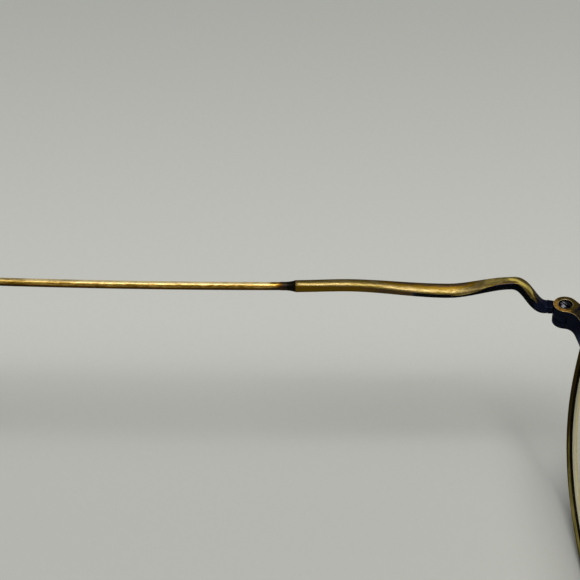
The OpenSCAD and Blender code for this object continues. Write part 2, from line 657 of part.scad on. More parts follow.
// Pad arm, a bent wire from the back of the eyewire to the pad box
arm_root_angle = 172;
arm_root = edge_point(arm_root_angle, rim_outer / 2, rim_w / 2 + seam);
arm_root_way = unit(arm_root - edge_point(arm_root_angle, rim_outer / 2, 0));
box_back = to_pad([box_floor + box_wall + seam, 0, 0]);
box_way = unit(to_pad([1, 0, 0]) - to_pad([0, 0, 0]));
arm_path = [arm_root, arm_root + arm_root_way * 3.2 + [1.2, 0, 3.2],
    box_back + box_way * 3.4 + [0, 0, 3.4], box_back];
arm_plane = unit(cross(arm_path[1] - arm_path[0], arm_path[2] - arm_path[0]));
arm_steps = 18;
function arm_way(s) = s <= 0 ? arm_root_way : s >= 1 ? -box_way
    : unit(bezier(arm_path, s + 0.01) - bezier(arm_path, s - 0.01));
module pad_arm() {
    color(gold) loft([for (i = [0 : arm_steps]) let (s = i / arm_steps)
        swept_ring(bezier(arm_path, s), arm_way(s), arm_d, arm_d, 0, 2, arm_sides, arm_plane)], flip = true);
}

// Stands the whole frame on its lower edge, with the middle of its length at Y 0
module stand() { translate([0, -(front_y + rear_y) / 2, -rim_low]) children(); }

stand() rim();  // rim_left
stand() right() rim();  // rim_right
stand() lens();  // lens_left
stand() right() lens();  // lens_right
stand() bridge();
stand() endpiece();  // endpiece_left
stand() right() endpiece();  // endpiece_right
stand() closing_block();  // closing_block_left
stand() right() closing_block();  // closing_block_right
stand() closing_screw();  // closing_screw_left
stand() right() closing_screw();  // closing_screw_right
stand() hinge_screw();  // hinge_screw_left
stand() right() hinge_screw();  // hinge_screw_right
stand() pad_arm();  // pad_arm_left
stand() right() pad_arm();  // pad_arm_right
stand() pad_box();  // pad_box_left
stand() right() pad_box();  // pad_box_right
stand() pad_screw();  // pad_screw_left
stand() right() pad_screw();  // pad_screw_right
stand() pad_insert();  // pad_insert_left
stand() right() pad_insert();  // pad_insert_right
stand() nose_pad();  // nose_pad_left
stand() right() nose_pad();  // nose_pad_right
stand() temple_knuckle();  // temple_knuckle_left
stand() right() temple_knuckle();  // temple_knuckle_right
stand() temple_bar();  // temple_bar_left
stand() right() temple_bar();  // temple_bar_right
stand() temple_wire();  // temple_wire_left
stand() right() temple_wire();  // temple_wire_right
stand() temple_tip();  // temple_tip_left
stand() right() temple_tip();  // temple_tip_right
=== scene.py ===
"""Finish, fine detail and stage for a slim eyeglass frame in brushed antique gold over a dark patina."""

import json
import math
from contextlib import contextmanager

import bpy
from mathutils import Matrix, Vector


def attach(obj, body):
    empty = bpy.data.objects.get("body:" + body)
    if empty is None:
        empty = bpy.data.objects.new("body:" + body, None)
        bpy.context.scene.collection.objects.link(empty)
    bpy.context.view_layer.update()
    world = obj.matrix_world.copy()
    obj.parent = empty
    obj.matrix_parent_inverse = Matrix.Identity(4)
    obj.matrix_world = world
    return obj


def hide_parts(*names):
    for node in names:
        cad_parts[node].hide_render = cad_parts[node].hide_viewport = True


bl_info = {
    "name": "Antique Gold Eyeglass Frame",
    "version": (1, 0, 0),
    "blender": (4, 5, 0),
    "location": "3D View > Sidebar > Eyeglasses",
    "description": "Dresses a packed eyeglass frame: worn gold, patina, lenses, pads, tips and a stage",
    "category": "Object",
}

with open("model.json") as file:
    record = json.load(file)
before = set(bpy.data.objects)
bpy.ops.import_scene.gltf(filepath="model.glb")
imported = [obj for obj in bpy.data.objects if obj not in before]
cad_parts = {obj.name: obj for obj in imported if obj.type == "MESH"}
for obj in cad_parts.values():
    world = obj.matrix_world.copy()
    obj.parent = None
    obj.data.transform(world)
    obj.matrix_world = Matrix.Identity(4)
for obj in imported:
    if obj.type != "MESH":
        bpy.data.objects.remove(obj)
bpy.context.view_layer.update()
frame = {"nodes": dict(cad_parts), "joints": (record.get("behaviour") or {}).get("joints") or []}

# Sizes of the frame are in millimetres, as on the bench, and become metres where a mesh is made.
# The floor and the lamp are in metres.
MM = 0.001
SIDES = {"left": 1, "right": -1}
HINGE = Vector(next(j["pos_m"] for j in frame["joints"] if j["name"] == "temple_hinge_left")) / MM
HINGE_X = HINGE.x


# Sizes and colours a user would change


def size_in_mm(name, description, default, low, high):
    """A size in mm and the range that the panel allows."""
    return bpy.props.FloatProperty(name=name, description=description, default=default, min=low, max=high)


def swatch(name, description, default):
    """A colour, which the panel shows as a swatch."""
    return bpy.props.FloatVectorProperty(
        name=name, description=description, subtype="COLOR", default=default, min=0, max=1)


class EyewireSizes(bpy.types.PropertyGroup):
    """The lens outline and the grooved wire round it."""

    lens_width: size_in_mm("Lens width", "Width of one lens in mm", 48.5, 40, 60)
    lens_height: size_in_mm("Lens height", "Height of one lens in mm", 40.5, 30, 50)
    squareness: bpy.props.FloatProperty(
        name="Squareness", description="2 is an ellipse, more is squarer", default=2.25, min=2, max=3)
    lens_gap: size_in_mm("Gap between lenses", "Distance between the lenses in mm", 20, 14, 26)
    base_radius: size_in_mm("Base radius", "Radius of the lens surface in mm", 88, 60, 200)
    lens_thickness: size_in_mm("Lens thickness", "Thickness of a lens in mm", 1.2, 1, 3)
    tilt: bpy.props.FloatProperty(
        name="Tilt", description="Lean of the front", default=math.radians(4.8), subtype="ANGLE")
    wrap: bpy.props.FloatProperty(
        name="Wrap", description="Turn of each lens to the side", default=math.radians(4.1), subtype="ANGLE")
    wire_depth: size_in_mm("Eyewire depth", "Front to back in mm", 1.95, 1.4, 3)
    wire_height: size_in_mm("Eyewire height", "Lens side to outside in mm", 1.05, 0.8, 2)
    back: size_in_mm("Hinge setback", "Lens middle to hinge axis in mm", 7.35, 4, 12)
    drop: size_in_mm("Hinge height", "Hinge above the lens middle in mm", 4.4, 0, 12)


class MetalFinish(bpy.types.PropertyGroup):
    """Antique gold, rubbed bright on the crests and carrying painted highlights and shade, over a blue-black
    patina.
    """

    bright_gold: swatch("Rubbed gold", "Gold where hands and cloth rub it", (0.58, 0.375, 0.092))
    deep_gold: swatch("Deep gold", "Gold in the brush marks", (0.17, 0.09, 0.005))
    tarnish: swatch("Tarnish", "Brown between the gold and the patina", (0.125, 0.05, 0.002))
    patina: swatch("Patina", "Blue-black patina in the hollows", (0.013, 0.018, 0.036))
    # The soot tone also paints shade on undersides and on the eyewire's rear lip by the groove.
    soot: swatch("Soot", "Brown-black of the soldered joint and the undersides", (0.006, 0.005, 0.004))
    # The polish tone is also the colour of painted highlights on edges, crests and lips.
    polished: swatch("Polished", "Edges and crests worn to a shine, and painted highlights", (0.85, 0.7, 0.36))
    steel: swatch("Screw steel", "Worn steel of the screws", (0.55, 0.53, 0.6))
    edge_round: size_in_mm("Edge rounding", "Rounding of cast edges in mm", 0.11, 0.02, 0.2)


class ClearFinish(bpy.types.PropertyGroup):
    """Lenses, nose pads and temple tips."""

    # The ground edge's colour also tints its painted glow.
    ground_edge: swatch("Ground lens edge with painted glow", "Matt ground edge of the lens", (0.55, 0.53, 0.41))
    lens_tint: swatch("Lens tint", "Faint yellow-green of the lens", (0.965, 0.965, 0.82))
    silicone: swatch("Pad silicone", "Milky silicone of the pads", (0.82, 0.8, 0.74))
    tortoise_dark: swatch("Dark tortoise", "Dark flecks of the tips", (0.012, 0.006, 0.004))
    tortoise_amber: swatch("Amber tortoise", "Amber ground of the tips", (0.2, 0.065, 0.012))


class StageSettings(bpy.types.PropertyGroup):
    """Pale floor, one soft overhead light and an even room."""

    floor: swatch("Floor", "Pale grey of the floor", (0.668, 0.68, 0.645))
    room: bpy.props.FloatProperty(
        name="Room light", description="Strength of the room's light from above", default=0.25, min=0, max=2)
    backdrop: bpy.props.FloatProperty(
        name="Backdrop", description="Brightness of what the camera and the reflections see behind the frame",
        default=0.36, min=0, max=1)
    overhead: bpy.props.FloatProperty(
        name="Overhead light", description="Power of the overhead light", default=16.6, min=0, max=100,
        unit="POWER")
    overhead_size: bpy.props.FloatProperty(
        name="Overhead size", description="Side of the square overhead light", default=0.72, min=0.05, max=3,
        unit="LENGTH")
    overhead_height: bpy.props.FloatProperty(
        name="Overhead distance", description="How far away the overhead light is", default=1.6, min=0.5,
        max=5, unit="LENGTH")


# Small modelling helpers


def deselect():
    if bpy.context.object is not None and bpy.context.object.mode != "OBJECT":
        bpy.ops.object.mode_set(mode="OBJECT")
    bpy.ops.object.select_all(action="DESELECT")


def pick(piece):
    """Makes one piece the only selected and active one."""
    deselect()
    piece.select_set(True)
    bpy.context.view_layer.objects.active = piece


def named(piece, name):
    piece.name = name
    piece.data.name = name
    return piece


@contextmanager
def editing():
    """Edit mode on the active piece, with all of it selected."""
    bpy.ops.object.mode_set(mode="EDIT")
    bpy.ops.mesh.select_all(action="SELECT")
    yield
    bpy.ops.object.mode_set(mode="OBJECT")


def apply_place():
    """Carries the active piece's place, turn and size into its mesh."""
    bpy.ops.object.transform_apply(location=True, rotation=True, scale=True)


def row(p):
    """A point in mm, its Y and Z counted from the hinge axis, as a point of the row frame in metres."""
    return Vector((p[0], HINGE.y + p[1], HINGE.z + p[2])) * MM


def wrapped_grid(name, columns, rows, place, caps=True):
    """A grid whose columns run round a form and whose rows run along it, closed into a skin."""
    deselect()
    bpy.ops.mesh.primitive_grid_add(x_subdivisions=columns, y_subdivisions=rows, size=2)
    piece = named(bpy.context.object, name)
    for v in piece.data.vertices:
        v.co = row(place((v.co.x + 1) / 2, (v.co.y + 1) / 2))
    with editing():
        bpy.ops.mesh.remove_doubles(threshold=2e-6)
        if caps:
            bpy.ops.mesh.select_all(action="DESELECT")
            bpy.ops.mesh.select_non_manifold()
            bpy.ops.mesh.fill_holes(sides=0)
        bpy.ops.mesh.select_all(action="SELECT")
        bpy.ops.mesh.normals_make_consistent(inside=False)
    return piece


def merged_copy(node, name):
    """A new piece with a CAD node's form, its loose triangles merged."""
    piece = bpy.data.objects.new(name, frame["nodes"][node].data.copy())
    bpy.context.scene.collection.objects.link(piece)
    piece.data.materials.clear()
    pick(piece)
    with editing():
        bpy.ops.mesh.remove_doubles(threshold=1e-6)
        bpy.ops.mesh.dissolve_limited(angle_limit=math.radians(0.5))
    return piece


def mirrored(piece):
    """The wearer's right piece, mirrored from the left one with its own mesh."""
    pick(piece)
    bpy.ops.object.duplicate()
    other = named(bpy.context.object, piece.name.replace("left", "right"))
    bpy.ops.transform.resize(value=(-1, 1, 1), center_override=(0, 0, 0))
    apply_place()
    with editing():
        bpy.ops.mesh.normals_make_consistent(inside=False)
    return other


def smooth(piece, degrees):
    pick(piece)
    bpy.ops.object.shade_smooth_by_angle(angle=math.radians(degrees))


def soften_edges(piece, width, degrees=40):
    """Rounds the edges of a casting and applies the result."""
    pick(piece)
    bevel = piece.modifiers.new("Rounded edges", "BEVEL")
    bevel.width = width * MM
    bevel.segments = 2
    bevel.limit_method = "ANGLE"
    bevel.angle_limit = math.radians(degrees)
    bpy.ops.object.modifier_apply(modifier=bevel.name)


def cut(piece, axis, places):
    """Cuts new edges across a piece, square to an axis, at places in mm."""
    pick(piece)
    with editing():
        for place in places:
            bpy.ops.mesh.select_all(action="SELECT")
            bpy.ops.mesh.bisect(plane_co=[place * MM * a for a in axis], plane_no=axis)


def rub_and_paint_light(piece, rule, by_face=False):
    """Stores how far the gold shows at each corner: below 0 soot, 0 patina, 1 gold, above it polish. Besides
    wear, the rules use it to paint highlights and shade.

    The rule gets the corner's place in mm (Y and Z from the hinge), its normal and its UV. On a casting the
    normal is its face's own, so that the wear stops at the edges."""
    mesh = piece.data
    shown = mesh.attributes.new("gold", "FLOAT", "CORNER")
    uv = mesh.uv_layers.active.data if mesh.uv_layers.active else None
    values = []
    for face in mesh.polygons:
        for i in face.loop_indices:
            p = mesh.vertices[mesh.loops[i].vertex_index].co / MM
            place = Vector((abs(p.x), p.y - HINGE.y, p.z - HINGE.z))
            n = face.normal if by_face else mesh.corner_normals[i].vector
            values.append(rule(place, n, uv[i].uv if uv else (0, 0)))
    shown.data.foreach_set("value", values)


def evenly(value):
    """A rule that rubs a whole piece to the same degree."""
    return lambda p, n, at: value


def finish_piece(piece, node, body, material):
    """Gives a piece its material and body, and hides the CAD node that it replaces."""
    piece.data.materials.clear()
    piece.data.materials.append(material)
    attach(piece, body)
    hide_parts(node)


def finish_both(left, kind, body, material):
    """Finishes a left piece and its mirror image. A {} in the body's name stands for the side."""
    pair = (left, mirrored(left))
    for piece, side in zip(pair, SIDES):
        finish_piece(piece, kind + "_" + side, body.format(side), material)
    return pair


def dress(node, ending, body, material, degrees, rounding=0, rule=None):
    """Finishes a copy of a CAD node: its edges rounded in mm, shaded smooth up to an angle and rubbed."""
    piece = merged_copy(node, node + "_" + ending)
    if rounding:
        soften_edges(piece, rounding)
    smooth(piece, degrees)
    if rule:
        rub_and_paint_light(piece, rule)
    finish_piece(piece, node, body, material)


def step(x, low, high):
    """Eases from 0 at low to 1 at high, or down where low is the higher."""
    t = min(1.0, max(0.0, (x - low) / (high - low)))
    return t * t * (3 - 2 * t)


# Forms of the frame


def signed_power(c, p):
    return math.copysign(abs(c) ** p, c)


def round_section(u, power):
    """Across and up on a superellipse of half-size 1, u of the way round from its underside."""
    a = 2 * math.pi * u - math.pi / 2
    c, s = math.cos(a), math.sin(a)
    k = (abs(c) ** power + abs(s) ** power) ** (-1 / power)
    return c * k, s * k


def section(centre, along, width, height, turn, power, u):
    """A point of a superellipse section square to a path, u of the way round from its underside."""
    t = along.normalized()
    outwards = Vector((1, 0, 0))
    side = (outwards - t * outwards.dot(t)).normalized()
    up = side.cross(t)
    across, above = round_section(u, power)
    p, q = width / 2 * across, height / 2 * above
    c, s = math.cos(turn), math.sin(turn)
    return centre + side * (p * c - q * s) + up * (p * s + q * c)


def outline(sizes, t):
    """The lens edge at an angle round it, across and up from the lens's middle."""
    a, b, k = sizes.lens_width / 2, sizes.lens_height / 2, sizes.squareness
    c, s = math.cos(t), math.sin(t)
    r = ((abs(c) / a) ** k + (abs(s) / b) ** k) ** (-1 / k)
    return r * c, r * s


def outline_normal(sizes, t):
    """The way straight out from the lens edge at an angle round it."""
    a, b, k = sizes.lens_width / 2, sizes.lens_height / 2, sizes.squareness - 1
    x, z = outline(sizes, t)
    return Vector((signed_power(x / a, k) / a, 0, signed_power(z / b, k) / b)).normalized()


def on_sphere(sizes, x, z):
    """A point of the lens surface and the way towards the face there, before tilt and wrap."""
    depth = sizes.base_radius - math.sqrt(sizes.base_radius ** 2 - x * x - z * z)
    return Vector((x, depth, z)), Vector((-x, sizes.base_radius - depth, -z)).normalized()


def placed(sizes, p):
    """Carries a point of the left lens to its leaned and wrapped place."""
    y = p.y * math.cos(sizes.tilt) - p.z * math.sin(sizes.tilt)
    z = p.z * math.cos(sizes.tilt) + p.y * math.sin(sizes.tilt)
    x = p.x * math.cos(sizes.wrap) - y * math.sin(sizes.wrap)
    y = p.x * math.sin(sizes.wrap) + y * math.cos(sizes.wrap)
    middle = (sizes.lens_gap + sizes.lens_width) / 2
    return Vector((middle + x, y - sizes.back, z - sizes.drop))


def edge_point(sizes, t, out, back):
    """A point near the lens edge: out from the edge and back towards the face."""
    p, face = on_sphere(sizes, *outline(sizes, t))
    n = outline_normal(sizes, t)
    side = (n - face * n.dot(face)).normalized()
    return placed(sizes, p + side * out + face * back)


def split_angle(sizes, height):
    """Where the middle of the eyewire passes a height on its temple side, found by halving."""
    low, high = 0.0, math.radians(60)
    for _ in range(30):
        middle = (low + high) / 2
        if edge_point(sizes, middle, 0, 0).z < height:
            low = middle
        else:
            high = middle
    return low


# Cast bar, from the hinge back: place, height, width, thickness, twist in degrees, squareness
BAR = (
    (2.25, 0.0, 1.7, 1.1, 0, 8),
    (7.3, 4.0, 1.62, 1.15, 0, 5),
    (15.6, 2.72, 1.95, 1.15, 28, 2.7),
    (29.5, 3.66, 1.65, 1.52, 14, 2.2),
    (36.0, 3.51, 1.62, 1.62, 0, 2),
)
BAR_ROW_COUNTS = (56, 44, 40, 14)
BAR_END = BAR[-1][0]
BAR_X = HINGE_X + 1.3
NECK_SWELL = 0.38

# The wire that the bar ends in, with the solder's flare over its first stretch
WIRE_Z, WIRE_D, WIRE_SEAT = 3.51, 1.1, 3.18
TAPER = 2.0
FLARE_ROWS = (0.03, 0.1, 0.2, 0.3, 0.42, 0.55, 0.7, 0.85, 1)


def bar_row(y):
    """Height, width, thickness, twist and squareness of the bar at a place behind the hinge."""
    last = len(BAR) - 2
    i = next(k for k in range(last + 1) if y <= BAR[k + 1][0] or k == last)
    a, b = BAR[i], BAR[i + 1]
    rise = mix = step(y, a[0], b[0])
    swell = 0
    if i == 0:
        mix = min(1.0, max(0.0, (y - a[0]) / (b[0] - a[0])))
        q = mix ** 0.95
        rise = q ** 3 * (q * (6 * q - 15) + 10)
        swell = NECK_SWELL * 4 * mix * (1 - mix)
    height = a[1] + (b[1] - a[1]) * rise
    width, thick, twist, power = (a[k] + (b[k] - a[k]) * mix for k in (2, 3, 4, 5))
    return height, width, thick + swell, math.radians(twist), power


def bar_centre(y):
    return Vector((BAR_X, y, bar_row(y)[0]))


def bar_rows():
    """Places of the bar's sections, closest together round its neck."""
    rows = []
    for (start, *_), (end, *_), count in zip(BAR, BAR[1:], BAR_ROW_COUNTS):
        rows += [start + (end - start) * i / count for i in range(count)]
    return rows + [BAR_END] + [BAR_END + TAPER * s for s in FLARE_ROWS]


BAR_ROWS = bar_rows()


def bar_point(u, w):
    """The whole bar, its row 0 at the knuckle, with the concave solder flare in its last rows."""
    y = BAR_ROWS[round(w * (len(BAR_ROWS) - 1))]
    if y <= BAR_END:
        height, width, thick, twist, power = bar_row(y)
        level = y in (BAR_ROWS[0], BAR_END)
        along = Vector((0, 1, 0)) if level else bar_centre(y + 0.1) - bar_centre(y - 0.1)
        return section(bar_centre(y), along, width, thick, twist, power, u)
    s = (y - BAR_END) / TAPER
    mouth = WIRE_D + 0.05
    d = mouth + (BAR[-1][2] - 0.02 - mouth) * (1 - min(1, s / 0.8)) ** 2.3
    return section(Vector((BAR_X, y, WIRE_Z)), Vector((0, 1, 0)), d, d, 0, 2, u)


# The wire bows outwards to the bend over the ear, where it drops and leans in, and ends in a straight tail.
BOW_RADIUS, BEND_Y, BEND_RADIUS, BEND_ANGLE, BEND_LEAN = 750.0, 92.0, 18.0, math.radians(42), math.radians(9)
BOW_START = BAR_END + TAPER
BOW_TURN = math.asin((BEND_Y - BOW_START) / BOW_RADIUS)
BOW_RUN = BOW_RADIUS * BOW_TURN
BEND_RUN = BEND_RADIUS * BEND_ANGLE
TAIL = 30.402


def route(s):
    """A point of the temple wire, s mm from the start of the bend over the ear."""
    bend_x = BAR_X + BOW_RADIUS * (1 - math.cos(BOW_TURN))
    if s < -BOW_RUN:
        return Vector((BAR_X, BOW_START + BOW_RUN + s, WIRE_Z))
    if s < 0:
        a = BOW_TURN + s / BOW_RADIUS
        return Vector((BAR_X + BOW_RADIUS * (1 - math.cos(a)), BOW_START + BOW_RADIUS * math.sin(a), WIRE_Z))
    a = min(s, BEND_RUN) / BEND_RADIUS
    past = max(0.0, s - BEND_RUN)
    y = BEND_RADIUS * math.sin(a) + past * math.cos(BEND_ANGLE)
    z = -BEND_RADIUS * (1 - math.cos(a)) - past * math.sin(BEND_ANGLE)
    x, z = z * math.sin(BEND_LEAN), z * math.cos(BEND_LEAN)
    return Vector((bend_x + x * math.cos(BOW_TURN) + y * math.sin(BOW_TURN),
        BEND_Y - x * math.sin(BOW_TURN) + y * math.cos(BOW_TURN), WIRE_Z + z))


# The tip: where it starts before the bend, its size at the mouth and at the end, its cover and its round nose
TIP_LEAD, TIP_D, TIP_H, TIP_T, TIP_COVER, TIP_NOSE = 11.0, 2.3, 4.4, 2.5, 5.0, 2.2
TIP_RUN = TIP_LEAD + BEND_RUN + TAIL + TIP_COVER
TIP_MOUTH = 0.25


def tip_rows():
    """Places along the tip with the share of its full section there: a rounded mouth and a round end."""
    mouth = [math.radians(18 * i) for i in range(6)]
    nose = [math.radians(d) for d in (*range(8, 81, 8), 87)]
    rows = [(-TIP_LEAD + TIP_MOUTH * (1 - math.cos(a)), 0.8 + 0.2 * math.sin(a)) for a in mouth]
    rows += [(-TIP_LEAD + TIP_MOUTH + (TIP_RUN - TIP_MOUTH - TIP_NOSE) * i / 70, 1) for i in range(1, 71)]
    return rows + [(TIP_RUN - TIP_LEAD - TIP_NOSE * (1 - math.sin(a)), math.cos(a)) for a in nose]


TIP_ROWS = tip_rows()


def tip_point(u, w):
    """The tip, which grows from its mouth to a flat oval round the wire."""
    s, share = TIP_ROWS[round(w * (len(TIP_ROWS) - 1))]
    grown = step((s + TIP_LEAD) / TIP_RUN / 0.8, 0, 1)
    width = (TIP_D + (TIP_T - TIP_D) * grown) * share
    height = (TIP_D + (TIP_H - TIP_D) * grown) * share
    return section(route(s), route(s + 0.05) - route(s - 0.05), width, height, 0, 2.3, u)


# Shader building


def feed(tree, node, inputs):
    """Sets a node's inputs, and links those that are given another node's output."""
    for key, value in inputs.items():
        if isinstance(value, bpy.types.NodeSocket):
            tree.links.new(value, node.inputs[key])
        else:
            node.inputs[key].default_value = value


def add_node(tree, kind, x, y, inputs=None, **settings):
    made = tree.nodes.new("ShaderNode" + kind)
    made.location = (x, y)
    for key, value in settings.items():
        setattr(made, key, value)
    feed(tree, made, inputs or {})
    return made


def calc(tree, x, y, operation, *values):
    return add_node(tree, "Math", x, y, dict(enumerate(values)), operation=operation).outputs[0]


def map_range(tree, x, y, value, start, end, low=0.0, high=1.0, **settings):
    """Carries a value from the range start to end over to the range low to high."""
    inputs = {"Value": value, "From Min": start, "From Max": end, "To Min": low, "To Max": high}
    return add_node(tree, "MapRange", x, y, inputs, **settings).outputs[0]


def mix_colours(tree, x, y, factor, first, second, **settings):
    inputs = {0: factor, 6: first, 7: second}
    return add_node(tree, "Mix", x, y, inputs, data_type="RGBA", **settings).outputs[2]


def mix_values(tree, x, y, factor, first, second):
    return add_node(tree, "Mix", x, y, {0: factor, 2: first, 3: second}, data_type="FLOAT").outputs[0]


def noise(tree, x, y, place, scale, detail, **inputs):
    """Noise at a place. Its other inputs go by their names, such as Roughness."""
    inputs = {"Vector": place, "Scale": scale, "Detail": detail, **inputs}
    return add_node(tree, "TexNoise", x, y, inputs).outputs[0]


def on_object(tree, x=-700):
    return add_node(tree, "TexCoord", x, 0).outputs["Object"]


def wear_and_light_mask(tree, y):
    """The value that rub stored on the piece."""
    return add_node(tree, "Attribute", -650, y, attribute_name="gold").outputs["Fac"]


def colour_ramp(tree, x, y, value, stops, interpolation="LINEAR"):
    """A ramp through its stops, each a place and a colour."""
    made = add_node(tree, "ValToRGB", x, y, {0: value})
    ramp = made.color_ramp
    ramp.interpolation = interpolation
    ramp.elements[0].position = stops[0][0]
    ramp.elements[1].position = stops[-1][0]
    for place, _ in stops[1:-1]:
        ramp.elements.new(place)
    for element, (_, colour) in zip(ramp.elements, stops):
        element.color = rgba(colour)
    return made.outputs[0]


def clouded(tree, scale, detail, first, second):
    """A colour that drifts between two tones over the piece."""
    cloud = noise(tree, -450, 0, on_object(tree), scale, detail)
    return mix_colours(tree, -150, 0, cloud, rgba(first), rgba(second))


def rgba(colour):
    return (*colour, 1)


def new_material(name, inputs):
    """A material with one shader, whose even values go by the names of its sockets."""
    material = bpy.data.materials.new(name)
    material.use_nodes = True
    tree = material.node_tree
    tree.nodes.clear()
    shader = add_node(tree, "BsdfPrincipled", 500, 0, inputs)
    add_node(tree, "OutputMaterial", 800, 0, {"Surface": shader.outputs[0]})
    return material, tree, shader


def shared_group(name, inputs, outputs, build):
    """Makes a node group once. build gets the group and its given values, and returns what it puts out."""
    if name in bpy.data.node_groups:
        return bpy.data.node_groups[name]
    group = bpy.data.node_groups.new(name, "ShaderNodeTree")
    for label, kind, value in inputs:
        socket = group.interface.new_socket(label, in_out="INPUT", socket_type="NodeSocket" + kind)
        socket.default_value = value
    for label, kind in outputs:
        group.interface.new_socket(label, in_out="OUTPUT", socket_type="NodeSocket" + kind)
    start = group.nodes.new("NodeGroupInput")
    start.location = (-900, 0)
    end = group.nodes.new("NodeGroupOutput")
    end.location = (900, 0)
    feed(group, end, build(group, start.outputs))
    return group


def brush_marks():
    """Fine streaks: noise drawn out along one way by its three scales."""

    def build(group, given):
        drawn = add_node(group, "VectorMath", -700, 0, {0: given["Vector"], 1: given["Scales"]},
            operation="MULTIPLY").outputs[0]
        slow = add_node(group, "VectorMath", -450, -160, {0: drawn, "Scale": 0.23},
            operation="SCALE").outputs[0]
        fine = noise(group, -450, 120, drawn, 1.0, 5.0, Roughness=0.65)
        broad = calc(group, 0, -160, "MULTIPLY", noise(group, -230, -160, slow, 1.0, 2.0), 0.38)
        return {"Streaks": calc(group, 120, 40, "MULTIPLY_ADD", fine, 0.62, broad)}

    return shared_group("Brush marks", [("Vector", "Vector", (0, 0, 0)), ("Scales", "Vector", (1, 1, 1))],
        [("Streaks", "Float")], build)


# Tones of the worn plating and of its painted highlights and shade, from the metal finish, with the names of
# the group's inputs
TONES = {tone: tone.capitalize().replace("_", " ")
    for tone in ("deep_gold", "bright_gold", "tarnish", "patina", "soot", "polished")}


def worn_plating_and_light():
    """Gold rubbed through tarnish and patina, and above 1 on the mask a polish tone that also paints
    highlights: colour, roughness, metal.
    """

    def build(group, given):
        streaks = given["Streaks"]
        shift = calc(group, -700, 200, "SUBTRACT", streaks, 0.5)
        ragged = calc(group, -520, 200, "MULTIPLY_ADD", shift, given["Raggedness"], given["Gold shown"])

        def rising(y, low, high):
            return map_range(group, -330, y, ragged, low, high, interpolation_type="SMOOTHSTEP")

        clean, browned, gilt, shine_and_highlight = (rising(*ends) for ends in
            ((-180, -0.3, -0.05), (300, 0.18, 0.42), (140, 0.42, 0.78), (-20, 1.02, 1.35)))
        tone = map_range(group, -330, -380, streaks, 0.4, 0.62)
        gold = mix_colours(group, -80, -120, tone, given["Deep gold"], given["Bright gold"])
        sooty = mix_colours(group, -100, 320, clean, given["Soot"], given["Patina"])
        brown = mix_colours(group, 60, 200, browned, sooty, given["Tarnish"])
        plated = mix_colours(group, 240, 120, gilt, brown, gold)
        grit = map_range(group, 180, -260, streaks, 0.34, 0.66, 0.46, 0.24)
        metal = map_range(group, 420, -460, browned, 0, 1, 0.9, 1.0)
        return {"Color": mix_colours(group, 420, 60, shine_and_highlight, plated, given["Polished"]),
            "Roughness": mix_values(group, 420, -260, gilt, 0.42, grit),
            "Metallic": mix_values(group, 600, -460, shine_and_highlight, metal, 0.35),
            "Coat": calc(group, 420, -620, "MULTIPLY", gilt, 0.05)}

    finish = bpy.context.scene.metal_finish
    return shared_group("Worn plating and painted light",
        [("Gold shown", "Float", 1.0), ("Streaks", "Float", 0.5), ("Raggedness", "Float", 0.5)]
        + [(label, "Color", rgba(getattr(finish, tone))) for tone, label in TONES.items()],
        [("Color", "Color"), ("Roughness", "Float"), ("Metallic", "Float"), ("Coat", "Float")], build)


def gold_material(name, scales, ragged, from_uv=True, bump=0.25, edge=(0.6, 0.5, 0.3), **tones):
    """Brushed antique gold whose streaks follow the piece's UV map, or its own axes, with its own tones."""
    if name in bpy.data.materials:
        return bpy.data.materials[name]
    finish = bpy.context.scene.metal_finish
    material, tree, shader = new_material(name, {"Coat Roughness": 0.2, "Specular Tint": rgba(edge)})
    place = add_node(tree, "TexCoord", -900, 0).outputs["UV" if from_uv else "Object"]
    streaks = add_node(tree, "Group", -650, 0, node_tree=brush_marks())
    feed(tree, streaks, {"Vector": place, "Scales": scales})
    streaks = streaks.outputs["Streaks"]
    plating = add_node(tree, "Group", -350, 0, node_tree=worn_plating_and_light())
    feed(tree, plating, {"Gold shown": wear_and_light_mask(tree, -220), "Streaks": streaks, "Raggedness": ragged})
    feed(tree, plating, {label: rgba(tones.get(tone, getattr(finish, tone)))
        for tone, label in TONES.items()})
    raised = add_node(tree, "Bump", 100, -300, {"Strength": bump, "Distance": 0.00004, "Height": streaks})
    feed(tree, shader, {"Base Color": plating.outputs["Color"], "Roughness": plating.outputs["Roughness"],
        "Metallic": plating.outputs["Metallic"], "Coat Weight": plating.outputs["Coat"],
        "Normal": raised.outputs[0]})
    return material


def wire_material():
    """Drawn gold wire, which the solder's heat has browned."""
    return gold_material("Brushed gold wire", (5500, 1200, 5500), 0.5, from_uv=False, bump=0.7,
        patina=(0.02, 0.015, 0.01))


def cast_material():
    """Cast gold under a heavy patina, for end pieces, closing blocks, knuckles and pad boxes."""
    return gold_material("Cast gold over patina", (1500, 1500, 1500), 0.75, from_uv=False,
        edge=(0.4, 0.42, 0.5), patina=(0.006, 0.008, 0.018), bright_gold=(0.76, 0.4, 0.08),
        tarnish=(0.1, 0.068, 0.014))


def steel_material():
    """Blued screw steel, worn bright where the blade has turned it."""
    material, tree, shader = new_material("Worn screw steel", {"Metallic": 1.0, "Roughness": 0.22})
    grain = noise(tree, -650, 0, on_object(tree, -900), 2600.0, 3.0)
    wear = calc(tree, -420, -150, "ADD", wear_and_light_mask(tree, -300), grain)
    tones = ((0.72, (0.006, 0.006, 0.01)), (0.95, bpy.context.scene.metal_finish.steel))
    feed(tree, shader, {"Base Color": colour_ramp(tree, -200, 0, wear, tones)})
    return material


def lens_material():
    """Tinted glass, whose shadow stays pale."""
    colour = bpy.context.scene.clear_finish.lens_tint
    material, tree, shader = new_material("Tinted lens",
        {"Roughness": 0.02, "IOR": 1.5, "Transmission Weight": 1.0})
    shadow = add_node(tree, "LightPath", -150, -250).outputs["Is Shadow Ray"]
    feed(tree, shader, {"Base Color": clouded(tree, 60.0, 2.0, colour, [min(1, c * 1.03) for c in colour]),
        "Alpha": calc(tree, 100, -250, "MULTIPLY_ADD", shadow, -0.45, 1.0)})
    return material


